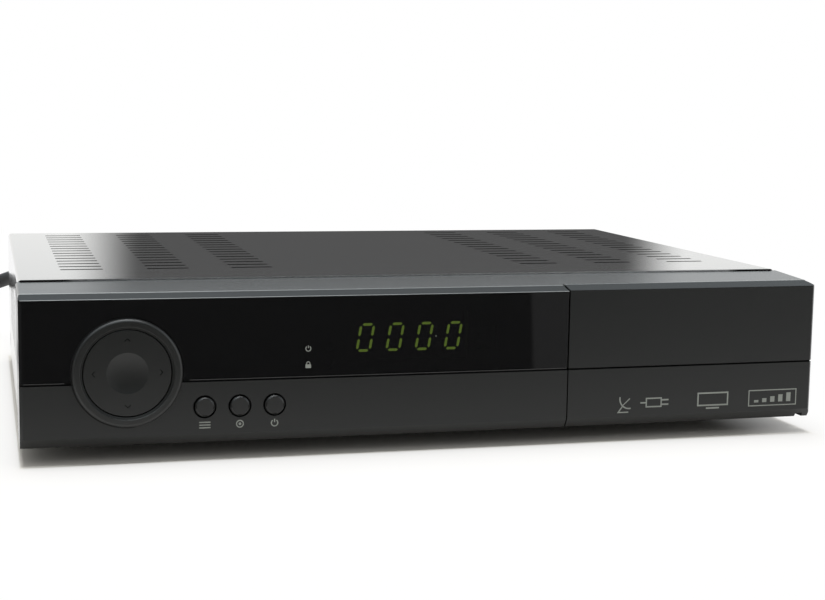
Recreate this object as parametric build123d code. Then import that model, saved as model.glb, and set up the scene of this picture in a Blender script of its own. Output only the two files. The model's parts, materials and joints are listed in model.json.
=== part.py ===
from build123d import *
import os
from math import asin, ceil, cos, degrees, pi, radians, sin, sqrt, tan

# A satellite receiver: a bowed plastic fascia on a sheet-metal tray and cover.
# +Z is up, the fascia looks toward -Y, and the origin is on the surface under the middle of the box.
# A "depth" is measured back from the crown of the fascia, a "height" up from its underside.

# ------------------------------------------------------------------ driving dimensions, mm
# Housing
WIDTH = 260.0             # fascia, end to end
BODY_DEPTH = 195.6        # crown of the fascia to the back of the cover
FOOT_HEIGHT = 5.2         # gap under the housing
FRONT_BOW = 1.3           # how far the front curves back at its ends
PLASTIC = 2.2             # moulded wall
SHEET = 0.8               # tray and cover metal
RUNNING_GAP = 0.4         # between the flap and the fascia
FIT_GAP = 0.1             # between pieces that are pushed together
SEAT_GAP = 0.3            # between a moving piece and what holds it
PIN_CLEARANCE = 0.05      # radial, hinge pin in its hole

# Fascia side profile
FACE_BOTTOM = 2.9         # height where the lower bevel meets the front
FACE_TOP = 44.5           # height where the front meets the top bevel
BEVEL_TOP = 45.8          # height at the back of the top bevel
BAND_TOP = 46.9           # height at the back of the top band
TOP_BEVEL_DEPTH = 6.1
LOW_BEVEL_DEPTH = 1.9
BAND_DEPTH = 29.7         # depth of the whole fascia
END_CHAMFER = 0.9         # on the fascia's two upright front corners
GROOVE_HEIGHT = 19.2      # middle of the groove across the front
GROOVE_WIDTH = 0.6
GROOVE_DEPTH = 1.0        # on the flap; beside the window it is as deep as the window
FLAP_WIDTH = 88.3
WINDOW_THICK = 1.6

# Cover and tray
COVER_INSET = 0.5         # cover side, in from the fascia's end
COVER_STEP = 0.4          # cover top, above the fascia's band
COVER_FRONT_GAP = 0.4     # shadow gap between fascia and cover
COVER_HEM = 0.7           # cover's lower edge, above the tray's underside
COVER_LIP = 9.0           # turned down over the rear panel
COVER_BEND = 1.4          # outer bend radius
FOOT_RECESS = 2.4         # screw head's pocket in a rubber foot
TRAY_SIDE = 12.0          # height of the tray's side flanges
VENT_LENGTH = 13.8
VENT_WIDTH = 2.2
VENT_ROWS = 15
VENT_ROW_PITCH = 8.95
VENT_FIRST_ROW = 58.0     # depth of the first row
VENT_COLUMN_PITCH = 28.3
VENT_INSET = 21.8         # centre of the outermost column, in from the fascia's end
VENT_COLUMNS = 3          # each side of the middle
SIDE_VENT_COUNT = 10
SIDE_VENT_HEIGHT = 20.0
FOOT_INSET = 26.0         # foot's centre, in from the fascia's end
FOOT_FROM_FRONT = 16.0    # and back from the tray's front
FOOT_FROM_BACK = 20.0
TAB_INSET = 50.0          # fascia's outer tabs, in from its ends
BAND_CORNER_R = 1.0       # upper left corner of the fascia

# Navigation pad
NAV_INSET = 31.5          # centre, in from the fascia's left end
NAV_HEIGHT = 22.3
NAV_RING_R = 16.5
NAV_RING_WIDTH = 2.4
NAV_RING_LEAN = 0.55      # inner wall, inward from the face to the rocker
NAV_PROUD = 1.6           # ring's lip, out from the fascia
NAV_LIP_ROUND = 1.15      # on the ring's outer edge
NAV_RECESS = 0.85         # rocker's face, behind the ring's lip
NAV_RIM_GAP = 0.35        # rocker to ring
NAV_RIM_WALL = 1.1
NAV_EAR_R = 1.25          # eyes of the pivot cross's pins
NAV_DIMPLE_R = 6.25
NAV_DIMPLE_DEPTH = 0.9
NAV_AXIS_DEPTH = 2.5      # tilt axes, behind the fascia's surface there
NAV_TILT = 2.5            # degrees each way
NAV_SWITCH_R = 10.8       # circle of the four switches

TACT_BODY = 3.6           # switch behind the pad and behind each button
TACT_PLUNGER = 0.7

# Push buttons
BUTTON_INSETS = (54.6, 65.3, 76.0)
BUTTON_HEIGHT = 11.2
BUTTON_R = 3.0
BUTTON_HOLE_R = 3.55
BUTTON_PROUD = 0.8
BUTTON_TRAVEL = 0.6

# Display side
PCB_THICK = 1.6
FRONT_PCB_DEPTH = 11.0
FRONT_PCB_INSET = 4.0
FRONT_PCB_HEIGHTS = (4.0, 42.5)
BOSS_INSET = 8.0          # left-hand bosses, in from the fascia's end
BOSS_TO_SEAM = 8.7        # right-hand bosses, left of the flap
BOSS_HEIGHTS = (8.5, 38.0)
BOSS_R = 3.0
DISPLAY_X = -11.5
DISPLAY_HEIGHT = 31.3
DISPLAY_SIZE = (38.0, 14.6)
DISPLAY_THICK = 6.5
LED_X = -36.5
LED_HEIGHTS = (28.4, 23.2)
IR_X = 14.5
IR_HEIGHT = 30.3

# Flap door and its bay
FLAP_LIP_DEPTH = 6.9      # back edge of the flap's top and end
FLAP_RISE = 0.3           # flap's top edge, above the fascia's
PIVOT_DEPTH = 4.2
PIVOT_HEIGHT = 3.9
PIVOT_R = 0.75
EAR_R = 1.6
EAR_THICK = 1.8
SETBACK_DEPTH = 9.2       # wall behind the flap
BAY_INSETS = (72.0, 16.0)
BAY_HEIGHTS = (10.0, 37.0)
BAY_DEPTH = 17.0          # face of the bay's back wall
CATCH_WIDTH = 8.0
CATCH_HEIGHT = 40.0
FLAP_RIBS = 4
FLAP_RIB_THICK = 1.2
FLAP_RIB_DEPTH = 1.8      # behind the flap's wall
USB_INSET = 44.0
USB_HEIGHT = 20.0
USB_BOARD = (32.0, 9.2)

# Inside
STANDOFF = 6.0
PCB_REAR_GAP = 1.0        # circuit board to rear panel
BOARD_INSET = 8.0         # both boards, in from the fascia's ends
BOARD_GAP = 8.0           # between the two
MAIN_PCB_LENGTH = 100.0
PSU_PCB_WIDTH = 56.0
PSU_PCB_LENGTH = 118.0
BOARD_SCREW_INSET = 5.0
CAPACITORS_BACK = 16.0    # row of capacitors, behind the main board's front edge
TUNER_LENGTH = 56.0
SINK_SIZE = 26.0
SINK_HEIGHT = 12.0
SINK_FIN_COUNT = 7
SINK_FIN_PITCH = 4.0
SINK_FIN_THICK = 1.2
HEADER_LENGTH = 11.0      # sockets of the leads between the boards
HEADER_WIDTH = 5.0
HEADER_HEIGHT = 6.0
RIBBON_WIDTH = 20.0
RIBBON_THICK = 0.8
WIRE_D = 1.4
WIRE_COUNT = 4
WIRE_PITCH = 2.2
SCREW_R = 1.5
FLAT_HEAD_R = 2.9         # countersunk heads in the cover's sides

# Rear connectors: places across the box, sizes as the standards have them
F_INSETS = (38.0, 18.0)
F_THREAD_R = 4.7
F_REACH = 11.0            # beyond the cover's back edge
F_HEIGHT = 8.0            # centre above the main board
HDMI_TO_F = 24.5
RCA_TO_HDMI = (62.0, 42.0, 28.0, 14.0)
RCA_SINGLE = 11.0         # width of the housing of the jack that stands alone
RCA_R = 4.15
RCA_REACH = 9.0
RCA_HEIGHT = 8.6
RCA_WALL = 0.5
RCA_BORE = 12.0           # depth of the barrel
RCA_PIN_R = 1.65
SWITCH_INSET = 42.0
SWITCH_HEIGHT = 27.0      # centre above the tray's underside
SWITCH_FACE = (21.0, 15.0)
SWITCH_TILT = 10.0        # degrees each side of level
SWITCH_PIVOT_BACK = 1.0   # pivot, inside the panel's face
SWITCH_ROCKER_R = 8.9
CORD_INSET = 11.0
CORD_HEIGHT = 26.5        # centre above the tray's underside

# Mains lead
CORD_D = 6.0
CORD_LENGTH = 1500.0
RELIEF_REACH = 30.0       # tapered sleeve outside the panel
RELIEF_R = 5.0
COIL_MEAN_R = 39.6
COIL_ASIDE = 70.0         # coil's centre, beyond the lead's outlet
COIL_FORWARD = 32.0       # and ahead of the sleeve's end
COIL_TURNS_WIDE = 3
COIL_EXIT = 225.0         # degrees round the coil, where the lead leaves its top turn
PLUG_NECK = 12.0
PLUG_SHOULDER = 20.0
PLUG_LENGTH = 34.0
PLUG_SIZE = (22.0, 10.5)
PLUG_PIN_LENGTH = 19.0
PLUG_PIN_R = 2.0
PLUG_PIN_SPACING = 18.0

# ------------------------------------------------------------------ values that follow
HALF_WIDTH = WIDTH / 2
NAV_X = NAV_INSET - HALF_WIDTH
BUTTON_XS = [inset - HALF_WIDTH for inset in BUTTON_INSETS]
SEAM_X = HALF_WIDTH - FLAP_WIDTH                # left edge of the flap
BAY_X = [HALF_WIDTH - inset for inset in BAY_INSETS]
USB_X = HALF_WIDTH - USB_INSET
PSU_PCB_X = (BOARD_INSET - HALF_WIDTH, BOARD_INSET - HALF_WIDTH + PSU_PCB_WIDTH)
MAIN_PCB_X = (PSU_PCB_X[1] + BOARD_GAP, HALF_WIDTH - BOARD_INSET)
F_XS = [HALF_WIDTH - inset for inset in F_INSETS]
HDMI_X = F_XS[0] - HDMI_TO_F
RCA_XS = [HDMI_X - step for step in RCA_TO_HDMI]
SERIAL_X = (MAIN_PCB_X[0] + RCA_XS[0] - RCA_SINGLE / 2) / 2
SWITCH_X = SWITCH_INSET - HALF_WIDTH
CORD_X = CORD_INSET - HALF_WIDTH
BOW_RADIUS = (HALF_WIDTH ** 2 + FRONT_BOW ** 2) / (2 * FRONT_BOW)


def bow(x):
    """How far the front has curved back at x."""
    return BOW_RADIUS - sqrt(BOW_RADIUS ** 2 - x ** 2)


NAV_REACH = NAV_PROUD - bow(NAV_X)              # foremost point of the part, ahead of the crown
FRONT = -(BODY_DEPTH + F_REACH - NAV_REACH) / 2  # y of the crown
REAR = FRONT + BODY_DEPTH
BASE = FOOT_HEIGHT                              # z of the housing's underside
PANEL_BACK = REAR - SHEET - FIT_GAP             # outer face of the rear panel
COVER_X = HALF_WIDTH - COVER_INSET
COVER_TOP = BASE + BAND_TOP + COVER_STEP
COVER_FRONT = FRONT + BAND_DEPTH + COVER_FRONT_GAP
TRAY_X = COVER_X - SHEET - 0.2
TRAY_FRONT = FRONT + BAND_DEPTH + 0.2
TRAY_FLOOR = BASE + SHEET
PCB_BOTTOM = TRAY_FLOOR + STANDOFF
PCB_TOP = PCB_BOTTOM + PCB_THICK
PCB_BACK = PANEL_BACK - SHEET - PCB_REAR_GAP
NAV_FACE = FRONT + bow(NAV_X)
NAV_Z = BASE + NAV_HEIGHT
NAV_AXIS_Y = NAV_FACE + NAV_AXIS_DEPTH
NAV_THROAT_R = NAV_RING_R - NAV_RING_WIDTH - NAV_RING_LEAN
NAV_ROCKER_R = NAV_THROAT_R - NAV_RIM_GAP
PCB_FACE = FRONT + FRONT_PCB_DEPTH
PIVOT_Y = FRONT + PIVOT_DEPTH
PIVOT_Z = BASE + PIVOT_HEIGHT
SEAM_LEFT = SEAM_X - RUNNING_GAP / 2            # fascia's side of the seam
SEAM_RIGHT = SEAM_X + RUNNING_GAP / 2           # flap's side of it
SETBACK_Y = FRONT + SETBACK_DEPTH
CATCH_X = (SEAM_X + HALF_WIDTH) / 2
SINK_X = sum(MAIN_PCB_X) / 2 - 2
SINK_Y = PCB_BACK - 58.0
MAIN_PCB_FRONT = PCB_BACK - MAIN_PCB_LENGTH
PSU_PCB_FRONT = PCB_BACK - PSU_PCB_LENGTH


# ------------------------------------------------------------------ shape helpers
def around(middle, half):
    """The two ends of a span."""
    return middle - half, middle + half


def block(xs, ys, zs):
    """Box between two corners."""
    size = [b - a for a, b in (xs, ys, zs)]
    centre = [(a + b) / 2 for a, b in (xs, ys, zs)]
    return Pos(*centre) * Box(*size)


def rod_x(x0, x1, y, z, r):
    return Pos((x0 + x1) / 2, y, z) * Rot(0, 90, 0) * Cylinder(r, x1 - x0)


def rod_y(x, y0, y1, z, r):
    return Pos(x, (y0 + y1) / 2, z) * Rot(90, 0, 0) * Cylinder(r, y1 - y0)


def rod_z(x, y, z0, z1, r):
    return Pos(x, y, (z0 + z1) / 2) * Cylinder(r, z1 - z0)


def turned_y(x, y, z, outline, rounds=()):
    """Revolve (distance along +Y, radius) points about a Y axis. Rounds holds corner numbers and radii."""
    face = make_face(Polyline(*[(r, d) for d, r in outline], close=True))
    for corner, radius in rounds:
        d, r = outline[corner]
        face = fillet(face.vertices().sort_by_distance((r, d, 0))[0], radius)
    return Pos(x, y, z) * Rot(-90, 0, 0) * revolve(Plane.XZ * face, Axis.Z)


def turned_z(x, y, z, outline):
    """Revolve (radius, height) points about a Z axis through x, y."""
    face = make_face(Polyline(*outline, close=True))
    return Pos(x, y, z) * revolve(Plane.XZ * face, Axis.Z)


def prism_x(x0, x1, outline):
    """Extrude a (y, z) outline along X."""
    face = make_face(Polyline(*outline, close=True))
    return extrude(Plane.YZ.offset(x0) * face, x1 - x0)


def bowed(outline, x_min, x_max):
    """Carry a (depth, height) side outline round the front's bow, then trim its ends and back."""
    face = make_face(Polyline(*outline, close=True))
    centre = Axis((0, FRONT + BOW_RADIUS, 0), (0, 0, 1))
    half = degrees(asin((HALF_WIDTH + 3) / (BOW_RADIUS - BAND_DEPTH - 5)))
    side = Plane(origin=(0, FRONT, BASE), x_dir=(0, 1, 0), z_dir=(1, 0, 0)) * face
    ring = revolve(side.rotate(centre, -half), centre, 2 * half)
    return ring & block((x_min, x_max), (FRONT - 5, FRONT + BAND_DEPTH), (BASE - 5, BASE + BAND_TOP + 5))


def group(shapes):
    return Compound(children=[s for shape in shapes for s in shape.solids()])


# ------------------------------------------------------------------ fascia
def corner_wedge(side):
    """Takes the chamfer off the fascia's upright front corner at one end."""
    x, y = side * HALF_WIDTH, FRONT + bow(HALF_WIDTH)
    face = make_face(Polyline((x - side * END_CHAMFER, y - 3), (x + side * 3, y - 3),
                              (x + side * 3, y + END_CHAMFER + 3), (x, y + END_CHAMFER),
                              (x - side * END_CHAMFER, y), close=True))
    return extrude(Plane.XY.offset(BASE - 1) * face, BAND_TOP + 2)


def band_corner():
    """Rounds the fascia's upper left edge, following the slope of its band."""
    slope = Plane(origin=(-HALF_WIDTH, FRONT + TOP_BEVEL_DEPTH, BASE + BEVEL_TOP), x_dir=(1, 0, 0),
                  z_dir=(0, TOP_BEVEL_DEPTH - BAND_DEPTH, BEVEL_TOP - BAND_TOP))
    r = BAND_CORNER_R
    corner = Pos((r - 1) / 2, (1 - r) / 2) * Rectangle(r + 1, r + 1) - Pos(r, -r) * Circle(r)
    return extrude(slope.offset(TOP_BEVEL_DEPTH + 2) * corner, -BAND_DEPTH - 5)


def fascia_shell():
    back = BAND_DEPTH + 3
    left = [(0, FACE_BOTTOM), (0, FACE_TOP), (TOP_BEVEL_DEPTH, BEVEL_TOP), (BAND_DEPTH, BAND_TOP),
            (back, BAND_TOP), (back, 0), (LOW_BEVEL_DEPTH, 0)]
    step = GROOVE_HEIGHT - PLASTIC
    behind_window = WINDOW_THICK + FIT_GAP + PLASTIC
    left_hollow = [(PLASTIC, PLASTIC + 1), (PLASTIC, step), (behind_window, step),
                   (behind_window, FACE_TOP - PLASTIC), (TOP_BEVEL_DEPTH + 1, BEVEL_TOP - PLASTIC),
                   (BAND_DEPTH, BAND_TOP - PLASTIC), (back, BAND_TOP - PLASTIC), (back, PLASTIC),
                   (PLASTIC + 1, PLASTIC)]
    nose = FLAP_LIP_DEPTH + RUNNING_GAP
    right = [(SETBACK_DEPTH, 0), (SETBACK_DEPTH, BEVEL_TOP - PLASTIC), (nose, BEVEL_TOP - PLASTIC),
             (nose, BEVEL_TOP), (BAND_DEPTH, BAND_TOP), (back, BAND_TOP), (back, 0)]
    wall = SETBACK_DEPTH + PLASTIC
    right_hollow = [(wall, PLASTIC), (wall, BEVEL_TOP - PLASTIC), (BAND_DEPTH, BAND_TOP - PLASTIC),
                    (back, BAND_TOP - PLASTIC), (back, PLASTIC)]
    end = HALF_WIDTH
    shell = bowed(left, -end, SEAM_LEFT) + bowed(right, SEAM_LEFT, end)
    shell -= bowed(left_hollow, PLASTIC - end, SEAM_LEFT - PLASTIC)
    shell -= bowed(right_hollow, SEAM_LEFT - PLASTIC - 1, end - PLASTIC)
    return shell


def window_outline(grow):
    low = GROOVE_HEIGHT + GROOVE_WIDTH / 2
    return [(-grow, low), (-grow, FACE_TOP - FIT_GAP), (WINDOW_THICK, FACE_TOP - FIT_GAP), (WINDOW_THICK, low)]


def pcb_bosses():
    """Where screws hold the front board: x and height."""
    return [(x, h) for x in (BOSS_INSET - HALF_WIDTH, SEAM_X - BOSS_TO_SEAM) for h in BOSS_HEIGHTS]


def tab_xs():
    """Where the fascia hooks on the tray's front flange."""
    return (TAB_INSET - HALF_WIDTH, 0, HALF_WIDTH - TAB_INSET)


def bay_walls():
    """The recess behind the flap, as a tub let into the setback wall."""
    y0, y1 = SETBACK_Y + 0.2, FRONT + BAY_DEPTH
    z0, z1 = BASE + BAY_HEIGHTS[0], BASE + BAY_HEIGHTS[1]
    tub = block((BAY_X[0] - PLASTIC, BAY_X[1] + PLASTIC), (y0, y1 + PLASTIC), (z0 - PLASTIC, z1 + PLASTIC))
    hollow = block(BAY_X, (FRONT, y1), (z0, z1))
    return tub, hollow


def flap_ear():
    """Right-hand hinge ear, standing forward from the setback wall."""
    x1 = HALF_WIDTH - PLASTIC - RUNNING_GAP
    x0 = x1 - EAR_THICK
    neck = block((x0, x1), (PIVOT_Y, SETBACK_Y + 1.5), around(PIVOT_Z, EAR_R))
    return rod_x(x0, x1, PIVOT_Y, PIVOT_Z, EAR_R) + neck


def front_fascia():
    shell = fascia_shell() - corner_wedge(-1) - band_corner()
    low = GROOVE_HEIGHT - GROOVE_WIDTH / 2
    deep = WINDOW_THICK + FIT_GAP
    shell -= bowed([(-1, low), (-1, FACE_TOP), (deep, FACE_TOP), (deep, low)], -HALF_WIDTH - 1, SEAM_LEFT + 1)
    tub, hollow = bay_walls()
    shell += tub
    shell -= hollow
    shell += flap_ear()
    # holes for the flap's two pins
    for x0, x1 in ((SEAM_LEFT - PLASTIC - 1, SEAM_LEFT + 1), (HALF_WIDTH - PLASTIC - 4, HALF_WIDTH - PLASTIC)):
        shell -= rod_x(x0, x1, PIVOT_Y, PIVOT_Z, PIVOT_R + PIN_CLEARANCE)
    # slot that the flap's catch springs into
    half = CATCH_WIDTH / 2 + RUNNING_GAP
    shell -= block(around(CATCH_X, half), (SETBACK_Y - 1, SETBACK_Y + PLASTIC + 2),
                   (BASE + CATCH_HEIGHT - 0.6, BASE + CATCH_HEIGHT + 2.4))
    # front controls
    shell -= rod_y(NAV_X, FRONT - 2, FRONT + 8, NAV_Z, NAV_RING_R + FIT_GAP)
    for x in BUTTON_XS:
        shell -= rod_y(x, FRONT - 2, FRONT + 8, BASE + BUTTON_HEIGHT, BUTTON_HOLE_R)
    # openings behind the window
    wide, high = DISPLAY_SIZE
    shell -= block(around(DISPLAY_X, wide / 2 + SEAT_GAP), (FRONT - 1, FRONT + 8),
                   around(BASE + DISPLAY_HEIGHT, high / 2 + SEAT_GAP))
    for h in LED_HEIGHTS:
        shell -= rod_y(LED_X, FRONT - 1, FRONT + 8, BASE + h, 1.7)
    shell -= block(around(IR_X, 3.4), (FRONT - 1, FRONT + 8), around(BASE + IR_HEIGHT, 3.9))
    # socket opening in the bay's back wall
    shell -= block(around(USB_X, 7.4), (FRONT + BAY_DEPTH - 1, FRONT + BAY_DEPTH + PLASTIC + 1),
                   around(BASE + USB_HEIGHT, 3.9))
    # bosses for the front board
    for x, h in pcb_bosses():
        root = FRONT + bow(x) + WINDOW_THICK + FIT_GAP + 0.2
        shell += rod_y(x, root, PCB_FACE, BASE + h, BOSS_R)
        shell -= rod_y(x, root + PLASTIC + 1, PCB_FACE + 1, BASE + h, SCREW_R + PIN_CLEARANCE)
    # tongue under the cover's front edge, and tabs that hook on the tray's floor
    lip_top = COVER_TOP - SHEET - 0.3
    shell += block((10 - HALF_WIDTH, HALF_WIDTH - 10), (FRONT + BAND_DEPTH - 1, FRONT + BAND_DEPTH + 6),
                   (lip_top - 1.8, lip_top))
    for x in tab_xs():
        shell += block(around(x, 6), (FRONT + BAND_DEPTH - 1, FRONT + BAND_DEPTH + 7),
                       (TRAY_FLOOR + 0.2, TRAY_FLOOR + 2.0))
    return shell


def display_window():
    slab = bowed(window_outline(0), -HALF_WIDTH, SEAM_LEFT - FIT_GAP)
    slab -= rod_y(NAV_X, FRONT - 2, FRONT + 8, NAV_Z, NAV_RING_R + FIT_GAP)
    return slab - corner_wedge(-1)


# ------------------------------------------------------------------ flap door
def flap_door():
    top = FACE_TOP + FLAP_RISE
    crest = BEVEL_TOP + FLAP_RISE
    lip = FLAP_LIP_DEPTH
    bottom_lip = PIVOT_DEPTH + 2.0
    outer = [(0, FACE_BOTTOM), (0, top), (TOP_BEVEL_DEPTH, crest), (lip, crest), (lip, PIVOT_HEIGHT + 2),
             (bottom_lip, PIVOT_HEIGHT + 1), (bottom_lip, 0), (LOW_BEVEL_DEPTH, 0)]
    hollow = [(PLASTIC, PLASTIC + 0.6), (PLASTIC, top - PLASTIC), (TOP_BEVEL_DEPTH - 1, crest - PLASTIC),
              (lip + 3, crest - PLASTIC), (lip + 3, PLASTIC - 0.3), (PLASTIC + 0.9, PLASTIC - 0.3)]
    end = HALF_WIDTH
    arm = PLASTIC
    flap = bowed(outer, SEAM_RIGHT, end) - bowed(hollow, SEAM_RIGHT - 1, end - PLASTIC)
    # left pivot arm: a web from the front wall back round the pin
    reach = EAR_R + 0.2
    flap += rod_x(SEAM_RIGHT, SEAM_RIGHT + arm, PIVOT_Y, PIVOT_Z, reach)
    flap += block((SEAM_RIGHT, SEAM_RIGHT + arm), (FRONT + 1.5, PIVOT_Y), (BASE + 1.2, PIVOT_Z + reach))
    # clear the bottom lip round the fascia's ear
    ear_x1 = end - PLASTIC
    ear_x0 = ear_x1 - EAR_THICK - 2 * RUNNING_GAP
    flap -= block((ear_x0, ear_x1), (PIVOT_Y - EAR_R - 0.3, FRONT + lip + 3), (BASE - 1, PIVOT_Z + 4))
    # pins
    flap += rod_x(SEAM_LEFT - PLASTIC + 0.2, SEAM_RIGHT + 0.5, PIVOT_Y, PIVOT_Z, PIVOT_R)
    flap += rod_x(ear_x0 + 0.1, ear_x1 + 0.5, PIVOT_Y, PIVOT_Z, PIVOT_R)
    for rib in flap_ribs():
        flap += rib
    # catch: a springy tongue with a nib on its end
    reach = SETBACK_Y + PLASTIC
    z = BASE + CATCH_HEIGHT
    flap += prism_x(CATCH_X - CATCH_WIDTH / 2, CATCH_X + CATCH_WIDTH / 2,
                    [(FRONT + PLASTIC - 0.2, z), (reach, z), (reach, z + 1.0), (reach - 0.8, z + 1.6),
                     (reach - 1.2, z + 1.2), (FRONT + PLASTIC - 0.2, z + 1.6)])
    # decorative groove, round the front and the end
    low, high = GROOVE_HEIGHT - GROOVE_WIDTH / 2, GROOVE_HEIGHT + GROOVE_WIDTH / 2
    groove = [(-1, low), (-1, high), (0, high), (GROOVE_DEPTH, GROOVE_HEIGHT), (0, low)]
    flap -= bowed(groove, SEAM_X - 1, end + 1)
    flap -= block((end - GROOVE_DEPTH / 2, end + 1), (FRONT - 1, FRONT + lip + 3), (BASE + low, BASE + high))
    # end chamfer and the rounded upper corner
    flap -= corner_wedge(1)
    round_r = 2.0
    x, z = end - round_r, BASE + crest - round_r
    square = block((x, end + 1), (FRONT - 1, FRONT + 12), (z, BASE + crest + 1))
    return flap - (square - rod_y(x, FRONT - 2, FRONT + 13, z, round_r))


def flap_ribs():
    """Upright ribs that stiffen the flap's wall, evenly spaced and clear of the catch."""
    ribs = []
    for i in range(1, FLAP_RIBS + 1):
        x = SEAM_RIGHT + i * (HALF_WIDTH - SEAM_RIGHT) / (FLAP_RIBS + 1)
        wall = FRONT + bow(x) + PLASTIC
        low, high = BASE + PLASTIC + 0.4, BASE + FACE_TOP - PLASTIC
        edge = wall + FLAP_RIB_DEPTH
        ribs.append(prism_x(*around(x, FLAP_RIB_THICK / 2),
                            [(wall - 0.3, low), (edge, low + 3), (edge, high - 2), (wall - 0.3, high)]))
    return ribs


# ------------------------------------------------------------------ cover and tray
def vent_columns():
    """Centres of the vent columns, outermost first, both sides of the middle."""
    xs = [HALF_WIDTH - VENT_INSET - i * VENT_COLUMN_PITCH for i in range(VENT_COLUMNS)]
    return [-x for x in xs] + xs[::-1]


def side_screw_places():
    ys = (COVER_FRONT + 18, REAR - 22)
    return [(side, y, BASE + 7.0) for side in (-1, 1) for y in ys]


def rear_screw_xs():
    return (8 - COVER_X, 0, COVER_X - 8)


def top_cover():
    outer = block((-COVER_X, COVER_X), (COVER_FRONT, REAR), (BASE + COVER_HEM, COVER_TOP))
    outer = fillet(outer.edges().filter_by(Axis.Y).group_by(Axis.Z)[-1], COVER_BEND)
    inner = block((SHEET - COVER_X, COVER_X - SHEET), (COVER_FRONT - 1, REAR - SHEET), (0, COVER_TOP - SHEET))
    inner = fillet(inner.edges().filter_by(Axis.Y).group_by(Axis.Z)[-1], COVER_BEND - SHEET)
    cover = outer - inner
    cover -= block((SHEET - COVER_X, COVER_X - SHEET), (REAR - 2, REAR + 1), (0, COVER_TOP - COVER_LIP))
    slots = []
    for x in vent_columns():
        for row in range(VENT_ROWS):
            y = FRONT + VENT_FIRST_ROW + row * VENT_ROW_PITCH
            slots.append(block(around(x, VENT_LENGTH / 2), around(y, VENT_WIDTH / 2),
                               (COVER_TOP - 2, COVER_TOP + 1)))
    z = BASE + BAND_TOP * 0.56
    for side in (-1, 1):
        for i in range(SIDE_VENT_COUNT):
            y = FRONT + VENT_FIRST_ROW + (i + 1) * VENT_ROW_PITCH
            slots.append(block(sorted((side * (COVER_X - 2), side * (COVER_X + 1))),
                               around(y, VENT_WIDTH / 2),
                               around(z, SIDE_VENT_HEIGHT / 2)))
    slots += [at_side(place) * flat_screw(SHEET + 0.2, 0.1) for place in side_screw_places()]
    for x in rear_screw_xs():
        slots.append(rod_y(x, REAR - 2, REAR + 1, COVER_TOP - COVER_LIP / 2, SCREW_R + 0.1))
    return cover - slots


def foot_places():
    return [(x, y) for x in (FOOT_INSET - HALF_WIDTH, HALF_WIDTH - FOOT_INSET)
            for y in (TRAY_FRONT + FOOT_FROM_FRONT, PANEL_BACK - FOOT_FROM_BACK)]


def tray():
    top = COVER_TOP - SHEET - 0.4
    front_top = COVER_TOP - SHEET - 2.6
    floor = block((-TRAY_X, TRAY_X), (TRAY_FRONT, PANEL_BACK), (BASE, TRAY_FLOOR))
    sheet = floor + block((-TRAY_X, TRAY_X), (PANEL_BACK - SHEET, PANEL_BACK), (BASE, top))
    sheet += block((-TRAY_X, TRAY_X), (TRAY_FRONT, TRAY_FRONT + SHEET), (BASE, front_top))
    for side in (-1, 1):
        xs = sorted((side * TRAY_X, side * (TRAY_X - SHEET)))
        sheet += block(xs, (TRAY_FRONT, PANEL_BACK), (BASE, BASE + TRAY_SIDE))
    cuts = []
    # front flange: cable window, socket board, fascia tabs
    cuts.append(block((MAIN_PCB_X[0], SEAM_X - 6), (TRAY_FRONT - 1, TRAY_FRONT + 2), (BASE + 16, BASE + 34)))
    cuts.append(block(around(USB_X, USB_BOARD[0] / 2 + 2), (TRAY_FRONT - 1, TRAY_FRONT + 2),
                      (BASE + USB_HEIGHT - 7, BASE + USB_HEIGHT + 6)))
    for x in tab_xs():
        cuts.append(block(around(x, 7), (TRAY_FRONT - 1, TRAY_FRONT + 2), (TRAY_FLOOR, TRAY_FLOOR + 2.6)))
    # rear panel: every connector's hole
    y0, y1 = PANEL_BACK - 2, PANEL_BACK + 1
    for x in F_XS:
        cuts.append(rod_y(x, y0, y1, PCB_TOP + F_HEIGHT, F_THREAD_R + 0.5))
    for x in RCA_XS:
        cuts.append(rod_y(x, y0, y1, PCB_TOP + RCA_HEIGHT, RCA_R + 0.5))
    cuts.append(block(around(HDMI_X, 8.0), (y0, y1), (PCB_TOP - 0.3, PCB_TOP + 6.7)))
    cuts.append(block(around(SERIAL_X, 9.8), (y0, y1), (PCB_TOP + 1.0, PCB_TOP + 11.5)))
    wide, high = SWITCH_FACE
    z = BASE + SWITCH_HEIGHT
    cuts.append(block((SWITCH_X - wide / 2 + 0.9, SWITCH_X + wide / 2 - 0.9), (y0, y1),
                      (z - high / 2 + 0.9, z + high / 2 - 0.9)))
    cuts.append(rod_y(CORD_X, y0, y1, BASE + CORD_HEIGHT, RELIEF_R - 1.0))
    for side, y, h in side_screw_places():
        cuts.append(rod_x(*sorted((side * (TRAY_X - 2), side * (TRAY_X + 1))), y, h, SCREW_R + 0.1))
    for x in rear_screw_xs():
        cuts.append(rod_y(x, y0, y1, COVER_TOP - COVER_LIP / 2, SCREW_R + 0.1))
    for x, y in foot_places():
        cuts.append(rod_z(x, y, BASE - 1, TRAY_FLOOR + 1, SCREW_R + 0.1))
    # vent slots under the power supply
    for i in range(8):
        x = PSU_PCB_X[0] + 8 + i * 6
        cuts.append(block(around(x, 1.1), (PANEL_BACK - 90, PANEL_BACK - 60), (BASE - 1, TRAY_FLOOR + 1)))
    return sheet - cuts


def feet():
    rubber = [(SCREW_R + 0.2, FOOT_RECESS), (3.6, FOOT_RECESS), (3.6, 0), (6.6, 0), (7.4, 1.0), (8.0, BASE),
              (SCREW_R + 0.2, BASE)]
    return group([turned_z(x, y, 0, rubber) for x, y in foot_places()])


def pan_screw(length):
    """Pan-head screw along +Z, underside of the head at z = 0."""
    outline = [(0, -1.7), (1.6, -1.7), (2.5, -1.1), (2.8, 0), (SCREW_R, 0), (SCREW_R, length), (0, length)]
    return revolve(Plane.XZ * make_face(Polyline(*outline, close=True)), Axis.Z)


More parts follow.
